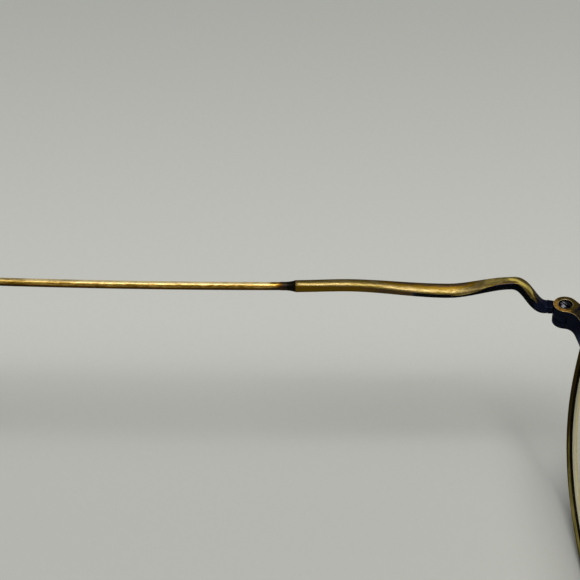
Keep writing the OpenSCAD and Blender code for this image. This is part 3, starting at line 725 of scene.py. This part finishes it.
def glowing_ground_edge_material():
    """The matt edge of a lens, with a faint painted glow in its own colour."""
    colour = bpy.context.scene.clear_finish.ground_edge
    # The emission paints a faint glow on the edge; it is no lamp.
    material, tree, shader = new_material("Ground lens edge with painted glow",
        {"Roughness": 0.7, "Emission Color": rgba(colour), "Emission Strength": 0.1})
    feed(tree, shader, {"Base Color": clouded(tree, 2500.0, 3.0, [c * 0.9 for c in colour], colour)})
    return material


def silicone_material(name, roughness, transmission):
    colour = bpy.context.scene.clear_finish.silicone
    material, tree, shader = new_material(name, {"Roughness": roughness, "IOR": 1.42,
        "Transmission Weight": transmission, "Coat Weight": 0.3, "Coat Roughness": 0.15})
    feed(tree, shader, {"Base Color": clouded(tree, 350.0, 3.0, [c * 0.94 for c in colour], colour)})
    return material


def tortoise_material():
    finish = bpy.context.scene.clear_finish
    material, tree, shader = new_material("Tortoise acetate",
        {"Roughness": 0.16, "IOR": 1.49, "Coat Weight": 0.5, "Coat Roughness": 0.06})
    drawn = add_node(tree, "Mapping", -700, 0, {"Vector": on_object(tree, -900), "Scale": (260, 130, 210)})
    clouds = noise(tree, -450, 0, drawn.outputs[0], 1.0, 4.0, Roughness=0.55, Distortion=1.4)
    tones = ((0.43, finish.tortoise_dark), (0.62, finish.tortoise_amber))
    feed(tree, shader, {"Base Color": colour_ramp(tree, -200, 0, clouds, tones)})
    return material


# Where the gold is rubbed bright, and where highlights and shade are painted


def round_the_bar(u, power):
    """A point's way round the section, 0 on top and 4 below: at the corners 1 and 3 on the side towards the
    head, minus 1 and minus 3 on the other."""
    across, above = round_section(u, power)
    if above >= abs(across):
        return -across
    if above <= -abs(across):
        return 4 + across if across < 0 else -4 + across
    return 2 - above if across < 0 else above - 2


def bar_wear_and_light(p, n, at):
    """Gold round the whole rear part, then on the broad face, the crest of the hump and a fading ridge, with
    painted highlights and painted shade.

    The zones' ends are places y in mm behind the hinge and places w round the section."""
    y = p.y
    if y > BAR_END + 0.03:
        return -0.5 + 0.8 * step(y, BAR_END + 0.5, BAR_END + TAPER)
    w = round_the_bar(at[0], bar_row(y)[4])
    # Round the rear part, painted shade darkens the gold to tarnish below its top on the head side and over
    # on its far side.
    rear = 0.95 - 0.55 * step(w, 1.0, 1.4) - 0.3 * step(-w, 0.6, 1.0) - 0.35 * step(-w, 1.5, 2.5)
    # The golden face lies between its inner border and its outer one, which close up on the neck.
    border = 1.0 + 0.5 * step(y, 10, 12) * step(y, 17, 14) + 0.9 * step(y, 7.4, 5) - 0.25 * step(y, 4.7, 4.0)
    outer = -1.05 - 0.6 * step(y, 14, 22) - 0.5 * step(y, 8, 6)
    outer += (border - 0.3 - outer) * step(y, 5.2, 3.9)
    inside = step(border - w, -0.06, 0.1)
    reach = step(w - outer, -0.15, 0.25)
    # Painted shade on its outer half in the dip, and along its inner border on the hump
    painted_shade = 0.96 * step(w, 0.75, -0.5) * step(y, 28, 22) * step(y, 10.5, 13.5)
    edge = step(w, 0.6, 0.8) * step(y, 11, 9.5) * step(y, 6.5, 7.0)
    painted_shade = max(painted_shade, 0.5 * step(w, 0.2, 0.6) * step(y, 8.6, 7.8) * step(y, 6.2, 7.0))
    # The crest is gold, with a painted highlight in a slanting streak where the hump turns down, and narrows
    # to a ridge on the neck.
    crest = 0.67 + 0.16 * step(y, 12.5, 10.5)
    ridge = 0.34 + 0.66 * step(w, -0.6, 0.5) * step(w, 1.85, 1.1)
    crest += (ridge - crest) * step(y, 6.6, 5.5)
    glint_offset = abs(w + 0.5 * y - 3.6)
    crest += 0.4 * step(glint_offset, 0.5, 0.1) * step(y, 8.0, 7.0) * step(y, 5.2, 6.2)
    # Beside and below the face the bar is dark: partly its own patina and soot, partly painted shade.
    under = 0.3 - 0.8 * step(y, 20.5, 19.5) + 0.55 * step(y, 4.6, 3.8) * step(w, 2.9, 2.3)
    face = (0.28 + crest * reach * (1 - max(painted_shade, edge))) * inside + under * (1 - inside)
    shown = rear + (face - rear) * step(y, 30, 23)
    shown = min(shown, 0.08 + 1.5 * step(y, 3.6, 4.2))
    # A painted highlight along the crease at the face's inner border.
    painted_crease_highlight = step(abs(w - border + 0.1), 0.22, 0.06) * step(y, 10.5, 12.5) * step(y, 21, 16)
    return max(shown, 2.15 * painted_crease_highlight - 1)


def wire_wear_and_light(p, n, at):
    """Dark beside the solder, then gold with a painted highlight on top and painted shade below."""
    dark = step(p.y, BOW_START + 1.9, BOW_START - 1.6)
    # Painted highlight where the wire faces up, painted shade where it faces down.
    highlight_and_shade = 1.0 + 0.25 * step(n.z, 0.7, 0.95) - 0.7 * step(n.z, 0.45, 0.0)
    return highlight_and_shade * (1 - dark) - 0.3 * dark - 0.15 * step(p.y, 60, 85)


# The top of the hinge ears, above the hinge's middle
EAR_TOP = 1.49


def lug_wear_and_light(p, n, at):
    """A painted highlight on the rounded top edge and a ring round the screw on top of the ears, gold on its
    near side as a painted highlight, with dark sides.
    """
    if p.z < EAR_TOP - 0.16 or n.z < 0.12:
        return -0.12
    # The rounded top edge is a painted highlight, brightest on the far side.
    if n.z < 0.93:
        return 1.4 - 0.25 * step(HINGE_X - p.x, 0.4, 1.0)
    r = math.hypot(p.x - HINGE_X, p.y)
    ahead = step(r, 1.95, 1.5)
    # On the near side the ring round the screw is lifted to gold as a painted highlight.
    near_side_highlight = step(HINGE_X - p.x + 1.6 * p.y, 0.1, 1.5)
    return 0.26 + 0.16 * ahead + 0.5 * ahead * near_side_highlight * step(r, 0.98, 1.2)


def rub_bridge(p, n, at):
    return 0.55 + 0.4 * n.z + 0.15 * abs(n.y)


# Operators, one for each piece or group


class EYE_OT_temple_bars(bpy.types.Operator):
    """Model the cast temple bars with their hump, twist and soldered flare"""

    bl_idname = "eyeglasses.temple_bars"
    bl_label = "Temple Bars"

    def execute(self, context):
        gold = gold_material("Brushed gold bar", (30, 46, 1), 0.4, bump=0.9, edge=(0.45, 0.43, 0.4),
            deep_gold=(0.115, 0.08, 0.01), bright_gold=(0.26, 0.19, 0.08), tarnish=(0.14, 0.078, 0.005),
            patina=(0.012, 0.016, 0.04), soot=(0.003, 0.004, 0.006), polished=(0.68, 0.53, 0.11))
        bar = wrapped_grid("temple_bar_left_cast", 96, len(BAR_ROWS) - 1, bar_point)
        smooth(bar, 38)
        rub_and_paint_light(bar, bar_wear_and_light)
        for piece in finish_both(bar, "temple_bar", "temple_{}", gold):
            piece.data.materials.append(wire_material())
            for face in piece.data.polygons:
                face.material_index = int(face.center.y / MM - HINGE.y > BAR_END + 0.02)
        return {"FINISHED"}


class EYE_OT_temple_wires(bpy.types.Operator):
    """Model the drawn wires of the temples"""

    bl_idname = "eyeglasses.temple_wires"
    bl_label = "Temple Wires"

    def execute(self, context):
        deselect()
        bpy.ops.mesh.primitive_circle_add(vertices=40, radius=WIRE_D / 2 * MM, fill_type="NGON",
            location=row((BAR_X, BOW_START - WIRE_SEAT, WIRE_Z)), rotation=(math.radians(90), 0, 0))
        wire = named(bpy.context.object, "temple_wire_left_drawn")
        apply_place()
        lean = Matrix.Rotation(-BOW_TURN, 3, "Z") @ Matrix.Rotation(BEND_LEAN, 3, "Y")
        with editing():
            bpy.ops.mesh.extrude_region_move(TRANSFORM_OT_translate={"value": (0, WIRE_SEAT * MM, 0)})
            for steps, share in ((12, 0.05), (50, 0.95)):
                bpy.ops.mesh.spin(steps=steps, angle=BOW_TURN * share,
                    center=row((BAR_X + BOW_RADIUS, BOW_START, WIRE_Z)), axis=(0, 0, 1))
            bpy.ops.mesh.spin(steps=24, angle=BEND_ANGLE, axis=lean @ Vector((1, 0, 0)),
                center=row(route(0) + lean @ Vector((0, 0, -1)) * BEND_RADIUS))
            tail = (route(BEND_RUN + 10) - route(BEND_RUN + 9)).normalized() * (TAIL - 0.3) * MM
            bpy.ops.mesh.extrude_region_move(TRANSFORM_OT_translate={"value": tail})
            bpy.ops.mesh.select_all(action="SELECT")
            bpy.ops.mesh.remove_doubles(threshold=1e-7)
            bpy.ops.mesh.normals_make_consistent(inside=False)
        smooth(wire, 40)
        rub_and_paint_light(wire, wire_wear_and_light)
        finish_both(wire, "temple_wire", "temple_{}", wire_material())
        return {"FINISHED"}


class EYE_OT_temple_tips(bpy.types.Operator):
    """Model the acetate tips over the ends of the wires"""

    bl_idname = "eyeglasses.temple_tips"
    bl_label = "Temple Tips"

    def execute(self, context):
        tip = wrapped_grid("temple_tip_left_acetate", 40, len(TIP_ROWS) - 1, tip_point)
        smooth(tip, 50)
        finish_both(tip, "temple_tip", "temple_{}", tortoise_material())
        return {"FINISHED"}


class EYE_OT_eyewires(bpy.types.Operator):
    """Model the grooved eyewires with their rounded edges"""

    bl_idname = "eyeglasses.eyewires"
    bl_label = "Eyewires"

    def execute(self, context):
        sizes = context.scene.eyewire_sizes
        half, outer, inner, soft, lip = sizes.wire_depth / 2, sizes.wire_height - 0.5, -0.5, 0.24, 0.07
        # The wire's section: the front half of its groove, round the outside and back to the groove
        profile = [(0.03, 0.1), (0.03, -0.1), (inner, -0.5), (inner, -half + lip), (inner + lip, -half)]
        arcs = [math.radians(22.5 * i) for i in range(5)]
        profile += [(outer - soft + soft * math.sin(a), -half + soft - soft * math.cos(a)) for a in arcs]
        profile += [(outer, -half * 0.35), (outer, half * 0.35)]
        profile += [(outer - soft + soft * math.cos(a), half - soft + soft * math.sin(a)) for a in arcs]
        profile += [(inner + lip, half), (inner, half - lip), (inner, 0.5)]
        count = len(profile)
        # The eyewire is split inside the closing block, where its two ends leave a gap.
        start = split_angle(sizes, -0.1)
        run = (edge_point(sizes, start + 0.01, 0, 0) - edge_point(sizes, start, 0, 0)).z / 0.01
        gap = 0.1 / run

        def rim_point(u, w):
            out, back = profile[round(u * count) % count]
            t = start + gap + (2 * math.pi - 2 * gap) * w
            return edge_point(sizes, t, out, back)

        def rim_wear_and_light(p, n, at):
            """Painted highlight on the front lip and painted shade on the rear lip by the groove, with more
            gold low on the wire and on its back.
            """
            out, back = profile[round(at[0] * count) % count]
            t = start + 2 * math.pi * at[1]
            low = step(abs(math.atan2(math.sin(t), math.cos(t))), 0.1, 0.85)
            # The front lip's inner wall, seen through the lens, is a painted highlight; the rear lip's inner
            # wall is painted shade.
            if out <= inner + 0.01:
                return -0.5 if back > -0.45 else 1.4
            if back > half - 0.05:
                return 0.3 + 0.2 * low ** 3 if out > inner + 0.1 else 0.35 + 0.75 * low
            return 0.22 + 0.3 * low

        rim = wrapped_grid("eyewire_left_grooved", count, 260, rim_point)
        smooth(rim, 30)
        rub_and_paint_light(rim, rim_wear_and_light)
        gold = gold_material("Brushed gold eyewire", (22, 40, 1), 0.45, bump=0.4,
            tarnish=(0.036, 0.03, 0.014), deep_gold=(0.1, 0.085, 0.02), bright_gold=(0.42, 0.36, 0.13),
            patina=(0.012, 0.01, 0.008))
        finish_both(rim, "rim", "front", gold)
        return {"FINISHED"}


class EYE_OT_lenses(bpy.types.Operator):
    """Model the curved lenses with their V edges"""

    bl_idname = "eyeglasses.lenses"
    bl_label = "Lenses"

    def execute(self, context):
        sizes = context.scene.eyewire_sizes
        half, shoulder, vee = sizes.lens_thickness / 2, -0.56, 0.44
        # Rings of the two faces, as shares of the outline, and of the edge between them
        rings = [math.sin(math.radians(90 * i / 14)) * 0.965 for i in range(15)]
        edge = [(shoulder - 0.04, -half), (shoulder, -half + 0.04), (shoulder, -vee), (-0.06, 0),
            (shoulder, vee), (shoulder, half - 0.04), (shoulder - 0.04, half)]
        rows = [("face", k, -half) for k in rings] + [("edge", *e) for e in edge]
        rows += [("face", k, half) for k in reversed(rings)]

        def lens_point(u, w):
            kind, a, back = rows[round(w * (len(rows) - 1))]
            t = 2 * math.pi * u
            if kind == "edge":
                return edge_point(sizes, t, a, back)
            x, z = outline(sizes, t)
            p, way = on_sphere(sizes, x * a, z * a)
            return placed(sizes, p + way * back)

        lens = wrapped_grid("lens_left_polished", 120, len(rows) - 1, lens_point, caps=False)
        ground = lens.data.attributes.new("ground", "INT", "FACE")
        uv = lens.data.uv_layers.active.data
        for face in lens.data.polygons:
            band = sum(uv[i].uv[1] for i in face.loop_indices) / face.loop_total * (len(rows) - 1)
            ground.data[face.index].value = int(len(rings) + 1 < band < len(rings) + len(edge) - 2)
        smooth(lens, 20)
        matt = glowing_ground_edge_material()
        for piece in finish_both(lens, "lens", "front", lens_material()):
            piece.data.materials.append(matt)
            ground = piece.data.attributes["ground"].data
            for face in piece.data.polygons:
                face.material_index = int(ground[face.index].value)
        return {"FINISHED"}


class EYE_OT_bridge(bpy.types.Operator):
    """Finish the arched bridge"""

    bl_idname = "eyeglasses.bridge"
    bl_label = "Bridge"

    def execute(self, context):
        gold = gold_material("Brushed gold bridge", (900, 4000, 4000), 0.5, from_uv=False)
        dress("bridge", "brushed", "front", gold, 40, rule=rub_bridge)
        return {"FINISHED"}


class EYE_OT_end_pieces(bpy.types.Operator):
    """Finish the end pieces: rounded ears and lugs, gold on top with painted highlights"""

    bl_idname = "eyeglasses.end_pieces"
    bl_label = "End Pieces"

    def execute(self, context):
        gold = cast_material()
        for side, sign in SIDES.items():
            piece = merged_copy("endpiece_" + side, "endpiece_" + side + "_cast")
            soften_edges(piece, context.scene.metal_finish.edge_round)
            # Cuts across the top let the wear change over its flat faces.
            cut(piece, (1, 0, 0), [sign * (HINGE_X + 0.35 * i) for i in range(-6, 6)])
            cut(piece, (0, 1, 0), [HINGE.y + 0.35 * i for i in range(-7, 6)])
            smooth(piece, 45)
            rub_and_paint_light(piece, lug_wear_and_light, by_face=True)
            finish_piece(piece, "endpiece_" + side, "front", gold)
            dress("closing_block_" + side, "cast", "front", gold, 45, 0.06, evenly(0.06))
        return {"FINISHED"}


class EYE_OT_knuckles(bpy.types.Operator):
    """Finish the temple knuckles in dark patina"""

    bl_idname = "eyeglasses.knuckles"
    bl_label = "Temple Knuckles"

    def execute(self, context):
        for side in SIDES:
            dress("temple_knuckle_" + side, "cast", "temple_" + side, cast_material(),
                45, 0.08, evenly(0.08))
        return {"FINISHED"}


SLOT_WIDTH, SLOT_DEPTH = 0.24, 0.22


def slotted_screw(name, shank_r, shank_h, head_r, head_h, turn):
    """A slotted screw on its own axis, its foot at the origin and its head above, sizes in mm."""
    deselect()
    bpy.ops.mesh.primitive_cylinder_add(vertices=56, radius=shank_r * MM, depth=shank_h * MM,
        location=(0, 0, shank_h / 2 * MM))
    screw = named(bpy.context.object, name)
    apply_place()
    bpy.ops.object.mode_set(mode="EDIT")
    bpy.ops.mesh.select_all(action="DESELECT")
    bpy.ops.object.mode_set(mode="OBJECT")
    for face in screw.data.polygons:
        face.select = face.normal.z > 0.9
    bpy.ops.object.mode_set(mode="EDIT")
    # Under the head, the head's side, its rounded edge and its slight dome
    rings = ((0, head_r / shank_r), (head_h - 0.2, 1), (0.1, 0.97), (0.06, 0.93), (0.03, 0.82), (0.01, 0.5))
    for rise, grow in rings:
        bpy.ops.mesh.extrude_region_move(TRANSFORM_OT_translate={"value": (0, 0, rise * MM)})
        bpy.ops.transform.resize(value=(grow, grow, 1), center_override=(0, 0, 0))
    bpy.ops.object.mode_set(mode="OBJECT")
    deselect()
    bpy.ops.mesh.primitive_cube_add(size=1, location=(0, 0, (shank_h + head_h) * MM),
        rotation=(0, 0, math.radians(turn)), scale=(2.4 * head_r * MM, SLOT_WIDTH * MM, 2 * SLOT_DEPTH * MM))
    cutter = bpy.context.object
    pick(screw)
    slot = screw.modifiers.new("Slot", "BOOLEAN")
    slot.operation = "DIFFERENCE"
    slot.object = cutter
    bpy.ops.object.modifier_apply(modifier=slot.name)
    pick(cutter)
    bpy.ops.object.delete()
    soften_edges(screw, 0.03, 35)
    aside = (-math.sin(math.radians(turn)), math.cos(math.radians(turn)), 0)
    worn = SLOT_WIDTH / 2 + 0.16
    cut(screw, aside, (-worn, -0.6 * worn, 0.6 * worn, worn))
    smooth(screw, 35)

    def slot_edge(p, n, at):
        """Where the blade has worn the head bright, on both sides of the slot."""
        co = Vector((p.x, p.y + HINGE.y, 0))
        beside = abs(co.dot(Vector(aside)))
        return 0.6 * step(beside, worn, 0.6 * worn) if n.z > 0.2 and co.length < 0.88 * head_r else 0.0

    rub_and_paint_light(screw, slot_edge, by_face=True)
    return screw


class EYE_OT_screws(bpy.types.Operator):
    """Turn every screw, with its head's rounded edge and its slot"""

    bl_idname = "eyeglasses.screws"
    bl_label = "Screws"

    def execute(self, context):
        steel = steel_material()
        hinge, closing, pad = (Matrix.Translation(row(foot)) for foot in
            ((HINGE_X, 0, -1.46), (59.7924, -2.59098, 1.04), (11.7, -0.1, -7)))
        upside_down = Matrix.Rotation(math.pi, 4, "X")
        # The pad's screw lies across its box, splayed and leaned as the pad is.
        # Its foot is 1.06 mm off the middle.
        across = (Matrix.Rotation(math.radians(-27), 4, "Z") @ Matrix.Rotation(math.radians(-20), 4, "Y")
            @ Matrix.Rotation(math.radians(-90), 4, "X"))
        # Radius and height of the shank and of the head, the slot's turn in degrees, and the place
        screws = (
            ("hinge_screw", (0.7, 2.4, 0.93, 0.46, 42), hinge),
            ("closing_screw", (0.45, 2.72, 0.66, 0.4, 25), closing @ upside_down),
            ("pad_screw", (0.45, 2.14, 0.72, 0.38, 90),
                pad @ across @ Matrix.Translation((0, 0, -1.06 * MM))),
        )
        turned = []
        for kind, measures, place in screws:
            screw = slotted_screw(kind + "_left_slotted", *measures)
            pick(screw)
            screw.matrix_world = place
            apply_place()
            turned.append((screw, kind))
        for screw, kind in turned:
            finish_both(screw, kind, "front", steel)
        return {"FINISHED"}


class EYE_OT_nose_pads(bpy.types.Operator):
    """Finish the nose pads, their cores, boxes and bent arms"""

    bl_idname = "eyeglasses.nose_pads"
    bl_label = "Nose Pads"

    def execute(self, context):
        silicone = silicone_material("Pad silicone", 0.28, 0.55)
        core = silicone_material("Pad core plastic", 0.12, 0.75)
        gold = gold_material("Brushed gold arm", (2500, 2500, 2500), 0.5, from_uv=False)
        cast = cast_material()
        for side in SIDES:
            dress("nose_pad_" + side, "soft", "pad_" + side, silicone, 45)
            dress("pad_insert_" + side, "clear", "pad_" + side, core, 40)
            dress("pad_arm_" + side, "bent", "front", gold, 50, rule=evenly(0.7))
            dress("pad_box_" + side, "pressed", "front", cast, 40, 0.05, evenly(0.3))
        return {"FINISHED"}


def lay_floor(colour):
    """A pale floor with painted light: brighter round the frame and shading gently away from it, as the
    photo's background does, with a painted shadow band under the temple.
    """
    bpy.ops.mesh.primitive_grid_add(x_subdivisions=8, y_subdivisions=8, size=6, location=(0, 0, 0))
    floor = bpy.context.object
    floor.name = "floor"
    material, tree, shader = new_material("Pale floor with painted light", {"Roughness": 0.9, "Specular IOR Level": 0.2})
    grain = clouded(tree, 900.0, 3.0, [c * 0.985 for c in colour], [min(1, c * 1.015) for c in colour])
    axes = add_node(tree, "SeparateXYZ", -700, 300, {0: on_object(tree, -900)})
    across = map_range(tree, -500, 300, axes.outputs["X"], 0.0, 0.2)
    # The floor's grey by its place along X, 0 at the frame's middle and 1 at 0.2 m to the left: a painted
    # pool of light round the frame, and a painted shadow band under the temple at 0.345 to 0.38.
    painted_light_levels = ((0.25, 0.83), (0.31, 0.85), (0.345, 0.78), (0.38, 0.78), (0.43, 0.96), (0.52, 1.02),
        (0.96, 0.7))
    stops = [(place, [level] * 3) for place, level in painted_light_levels]
    painted_falloff = colour_ramp(tree, -300, 300, across, stops, "B_SPLINE")
    feed(tree, shader, {"Base Color": mix_colours(tree, 100, 0, 1.0, grain, painted_falloff, blend_type="MULTIPLY")})
    floor.data.materials.append(material)


def light_room(scene, strength, backdrop):
    """An even room, brighter above and beyond the frame than on the camera's side."""
    world = bpy.data.worlds.new("Even room")
    scene.world = world
    world.use_nodes = True
    tree = world.node_tree
    way = add_node(tree, "TexCoord", -900, 0).outputs["Generated"]
    toward = add_node(tree, "VectorMath", -700, 0, {0: way, 1: (0.5, 0, 0.8)}, operation="DOT_PRODUCT")
    light = map_range(tree, -500, 0, toward.outputs["Value"], -0.2, 0.85, 0.3 * strength, 1.25 * strength)
    # The camera, glossy metal and lenses see one plain backdrop.
    rays = add_node(tree, "LightPath", -700, 300).outputs
    seen = calc(tree, -500, 300, "MAXIMUM", rays["Is Camera Ray"], rays["Is Glossy Ray"])
    seen = calc(tree, -400, 300, "MAXIMUM", seen, rays["Is Transmission Ray"])
    feed(tree, tree.nodes["Background"],
        {"Color": (1, 1, 0.985, 1), "Strength": mix_values(tree, -250, 100, seen, light, backdrop)})


def hang_lamp(scene, settings):
    """A square soft light above the frame, a little to the camera's side."""
    lamp = bpy.data.lights.new("Overhead light", "AREA")
    lamp.shape = "SQUARE"
    lamp.size = settings.overhead_size
    lamp.energy = settings.overhead
    lamp.color = (1, 0.99, 0.965)
    overhead = bpy.data.objects.new("Overhead light", lamp)
    scene.collection.objects.link(overhead)
    aim = Vector((0.066, -0.02, 0.02))
    away = Vector((-0.275, -0.08, 1)).normalized()
    overhead.location = aim + away * settings.overhead_height
    overhead.rotation_mode = "QUATERNION"
    overhead.rotation_quaternion = (-away).to_track_quat("-Z", "Y")


def place_camera(scene):
    """The photo's camera: across the left temple, 38.5 degrees down, with the hinge axis upright."""
    lens = bpy.data.cameras.new("Photo camera")
    lens.lens = 124.14
    lens.sensor_width = 36
    lens.clip_start = 0.01
    lens.clip_end = 20
    camera = bpy.data.objects.new("Photo camera", lens)
    scene.collection.objects.link(camera)
    down = math.radians(38.5)
    camera.location = (HINGE + Vector((-207.53, 36.75, 168.96))) * MM
    camera.rotation_mode = "QUATERNION"
    camera.rotation_quaternion = Vector((math.cos(down), 0, -math.sin(down))).to_track_quat("-Z", "Y")
    scene.camera = camera


class EYE_OT_stage(bpy.types.Operator):
    """Set out the pale floor, the lights and the camera"""

    bl_idname = "eyeglasses.stage"
    bl_label = "Stage"

    def execute(self, context):
        settings = context.scene.stage_settings
        deselect()
        lay_floor(settings.floor)
        light_room(context.scene, settings.room, settings.backdrop)
        hang_lamp(context.scene, settings)
        place_camera(context.scene)
        context.scene.view_settings.view_transform = "Standard"
        return {"FINISHED"}


STEPS = (
    EYE_OT_eyewires,
    EYE_OT_lenses,
    EYE_OT_bridge,
    EYE_OT_end_pieces,
    EYE_OT_screws,
    EYE_OT_nose_pads,
    EYE_OT_knuckles,
    EYE_OT_temple_bars,
    EYE_OT_temple_wires,
    EYE_OT_temple_tips,
    EYE_OT_stage,
)
GROUPS = (
    ("eyewire_sizes", EyewireSizes),
    ("metal_finish", MetalFinish),
    ("clear_finish", ClearFinish),
    ("stage_settings", StageSettings),
)


class EYE_PT_frame(bpy.types.Panel):
    """Sizes, finishes and steps of the eyeglass frame"""

    bl_idname = "EYE_PT_frame"
    bl_label = "Eyeglass Frame"
    bl_space_type = "VIEW_3D"
    bl_region_type = "UI"
    bl_category = "Eyeglasses"

    def draw(self, context):
        for name, group in GROUPS:
            box = self.layout.box()
            box.label(text=group.__name__)
            for prop in group.__annotations__:
                box.prop(getattr(context.scene, name), prop)
        for operator in STEPS:
            self.layout.operator(operator.bl_idname)


def register():
    for _, group in GROUPS:
        bpy.utils.register_class(group)
    for operator in STEPS:
        bpy.utils.register_class(operator)
    bpy.utils.register_class(EYE_PT_frame)
    for name, group in GROUPS:
        setattr(bpy.types.Scene, name, bpy.props.PointerProperty(type=group))


def unregister():
    for name, _ in GROUPS:
        delattr(bpy.types.Scene, name)
    bpy.utils.unregister_class(EYE_PT_frame)
    for operator in reversed(STEPS):
        bpy.utils.unregister_class(operator)
    for _, group in reversed(GROUPS):
        bpy.utils.unregister_class(group)


def main():
    register()
    for operator in STEPS:
        family, name = operator.bl_idname.split(".")
        getattr(getattr(bpy.ops, family), name)()
    deselect()


if __name__ == "__main__":
    main()
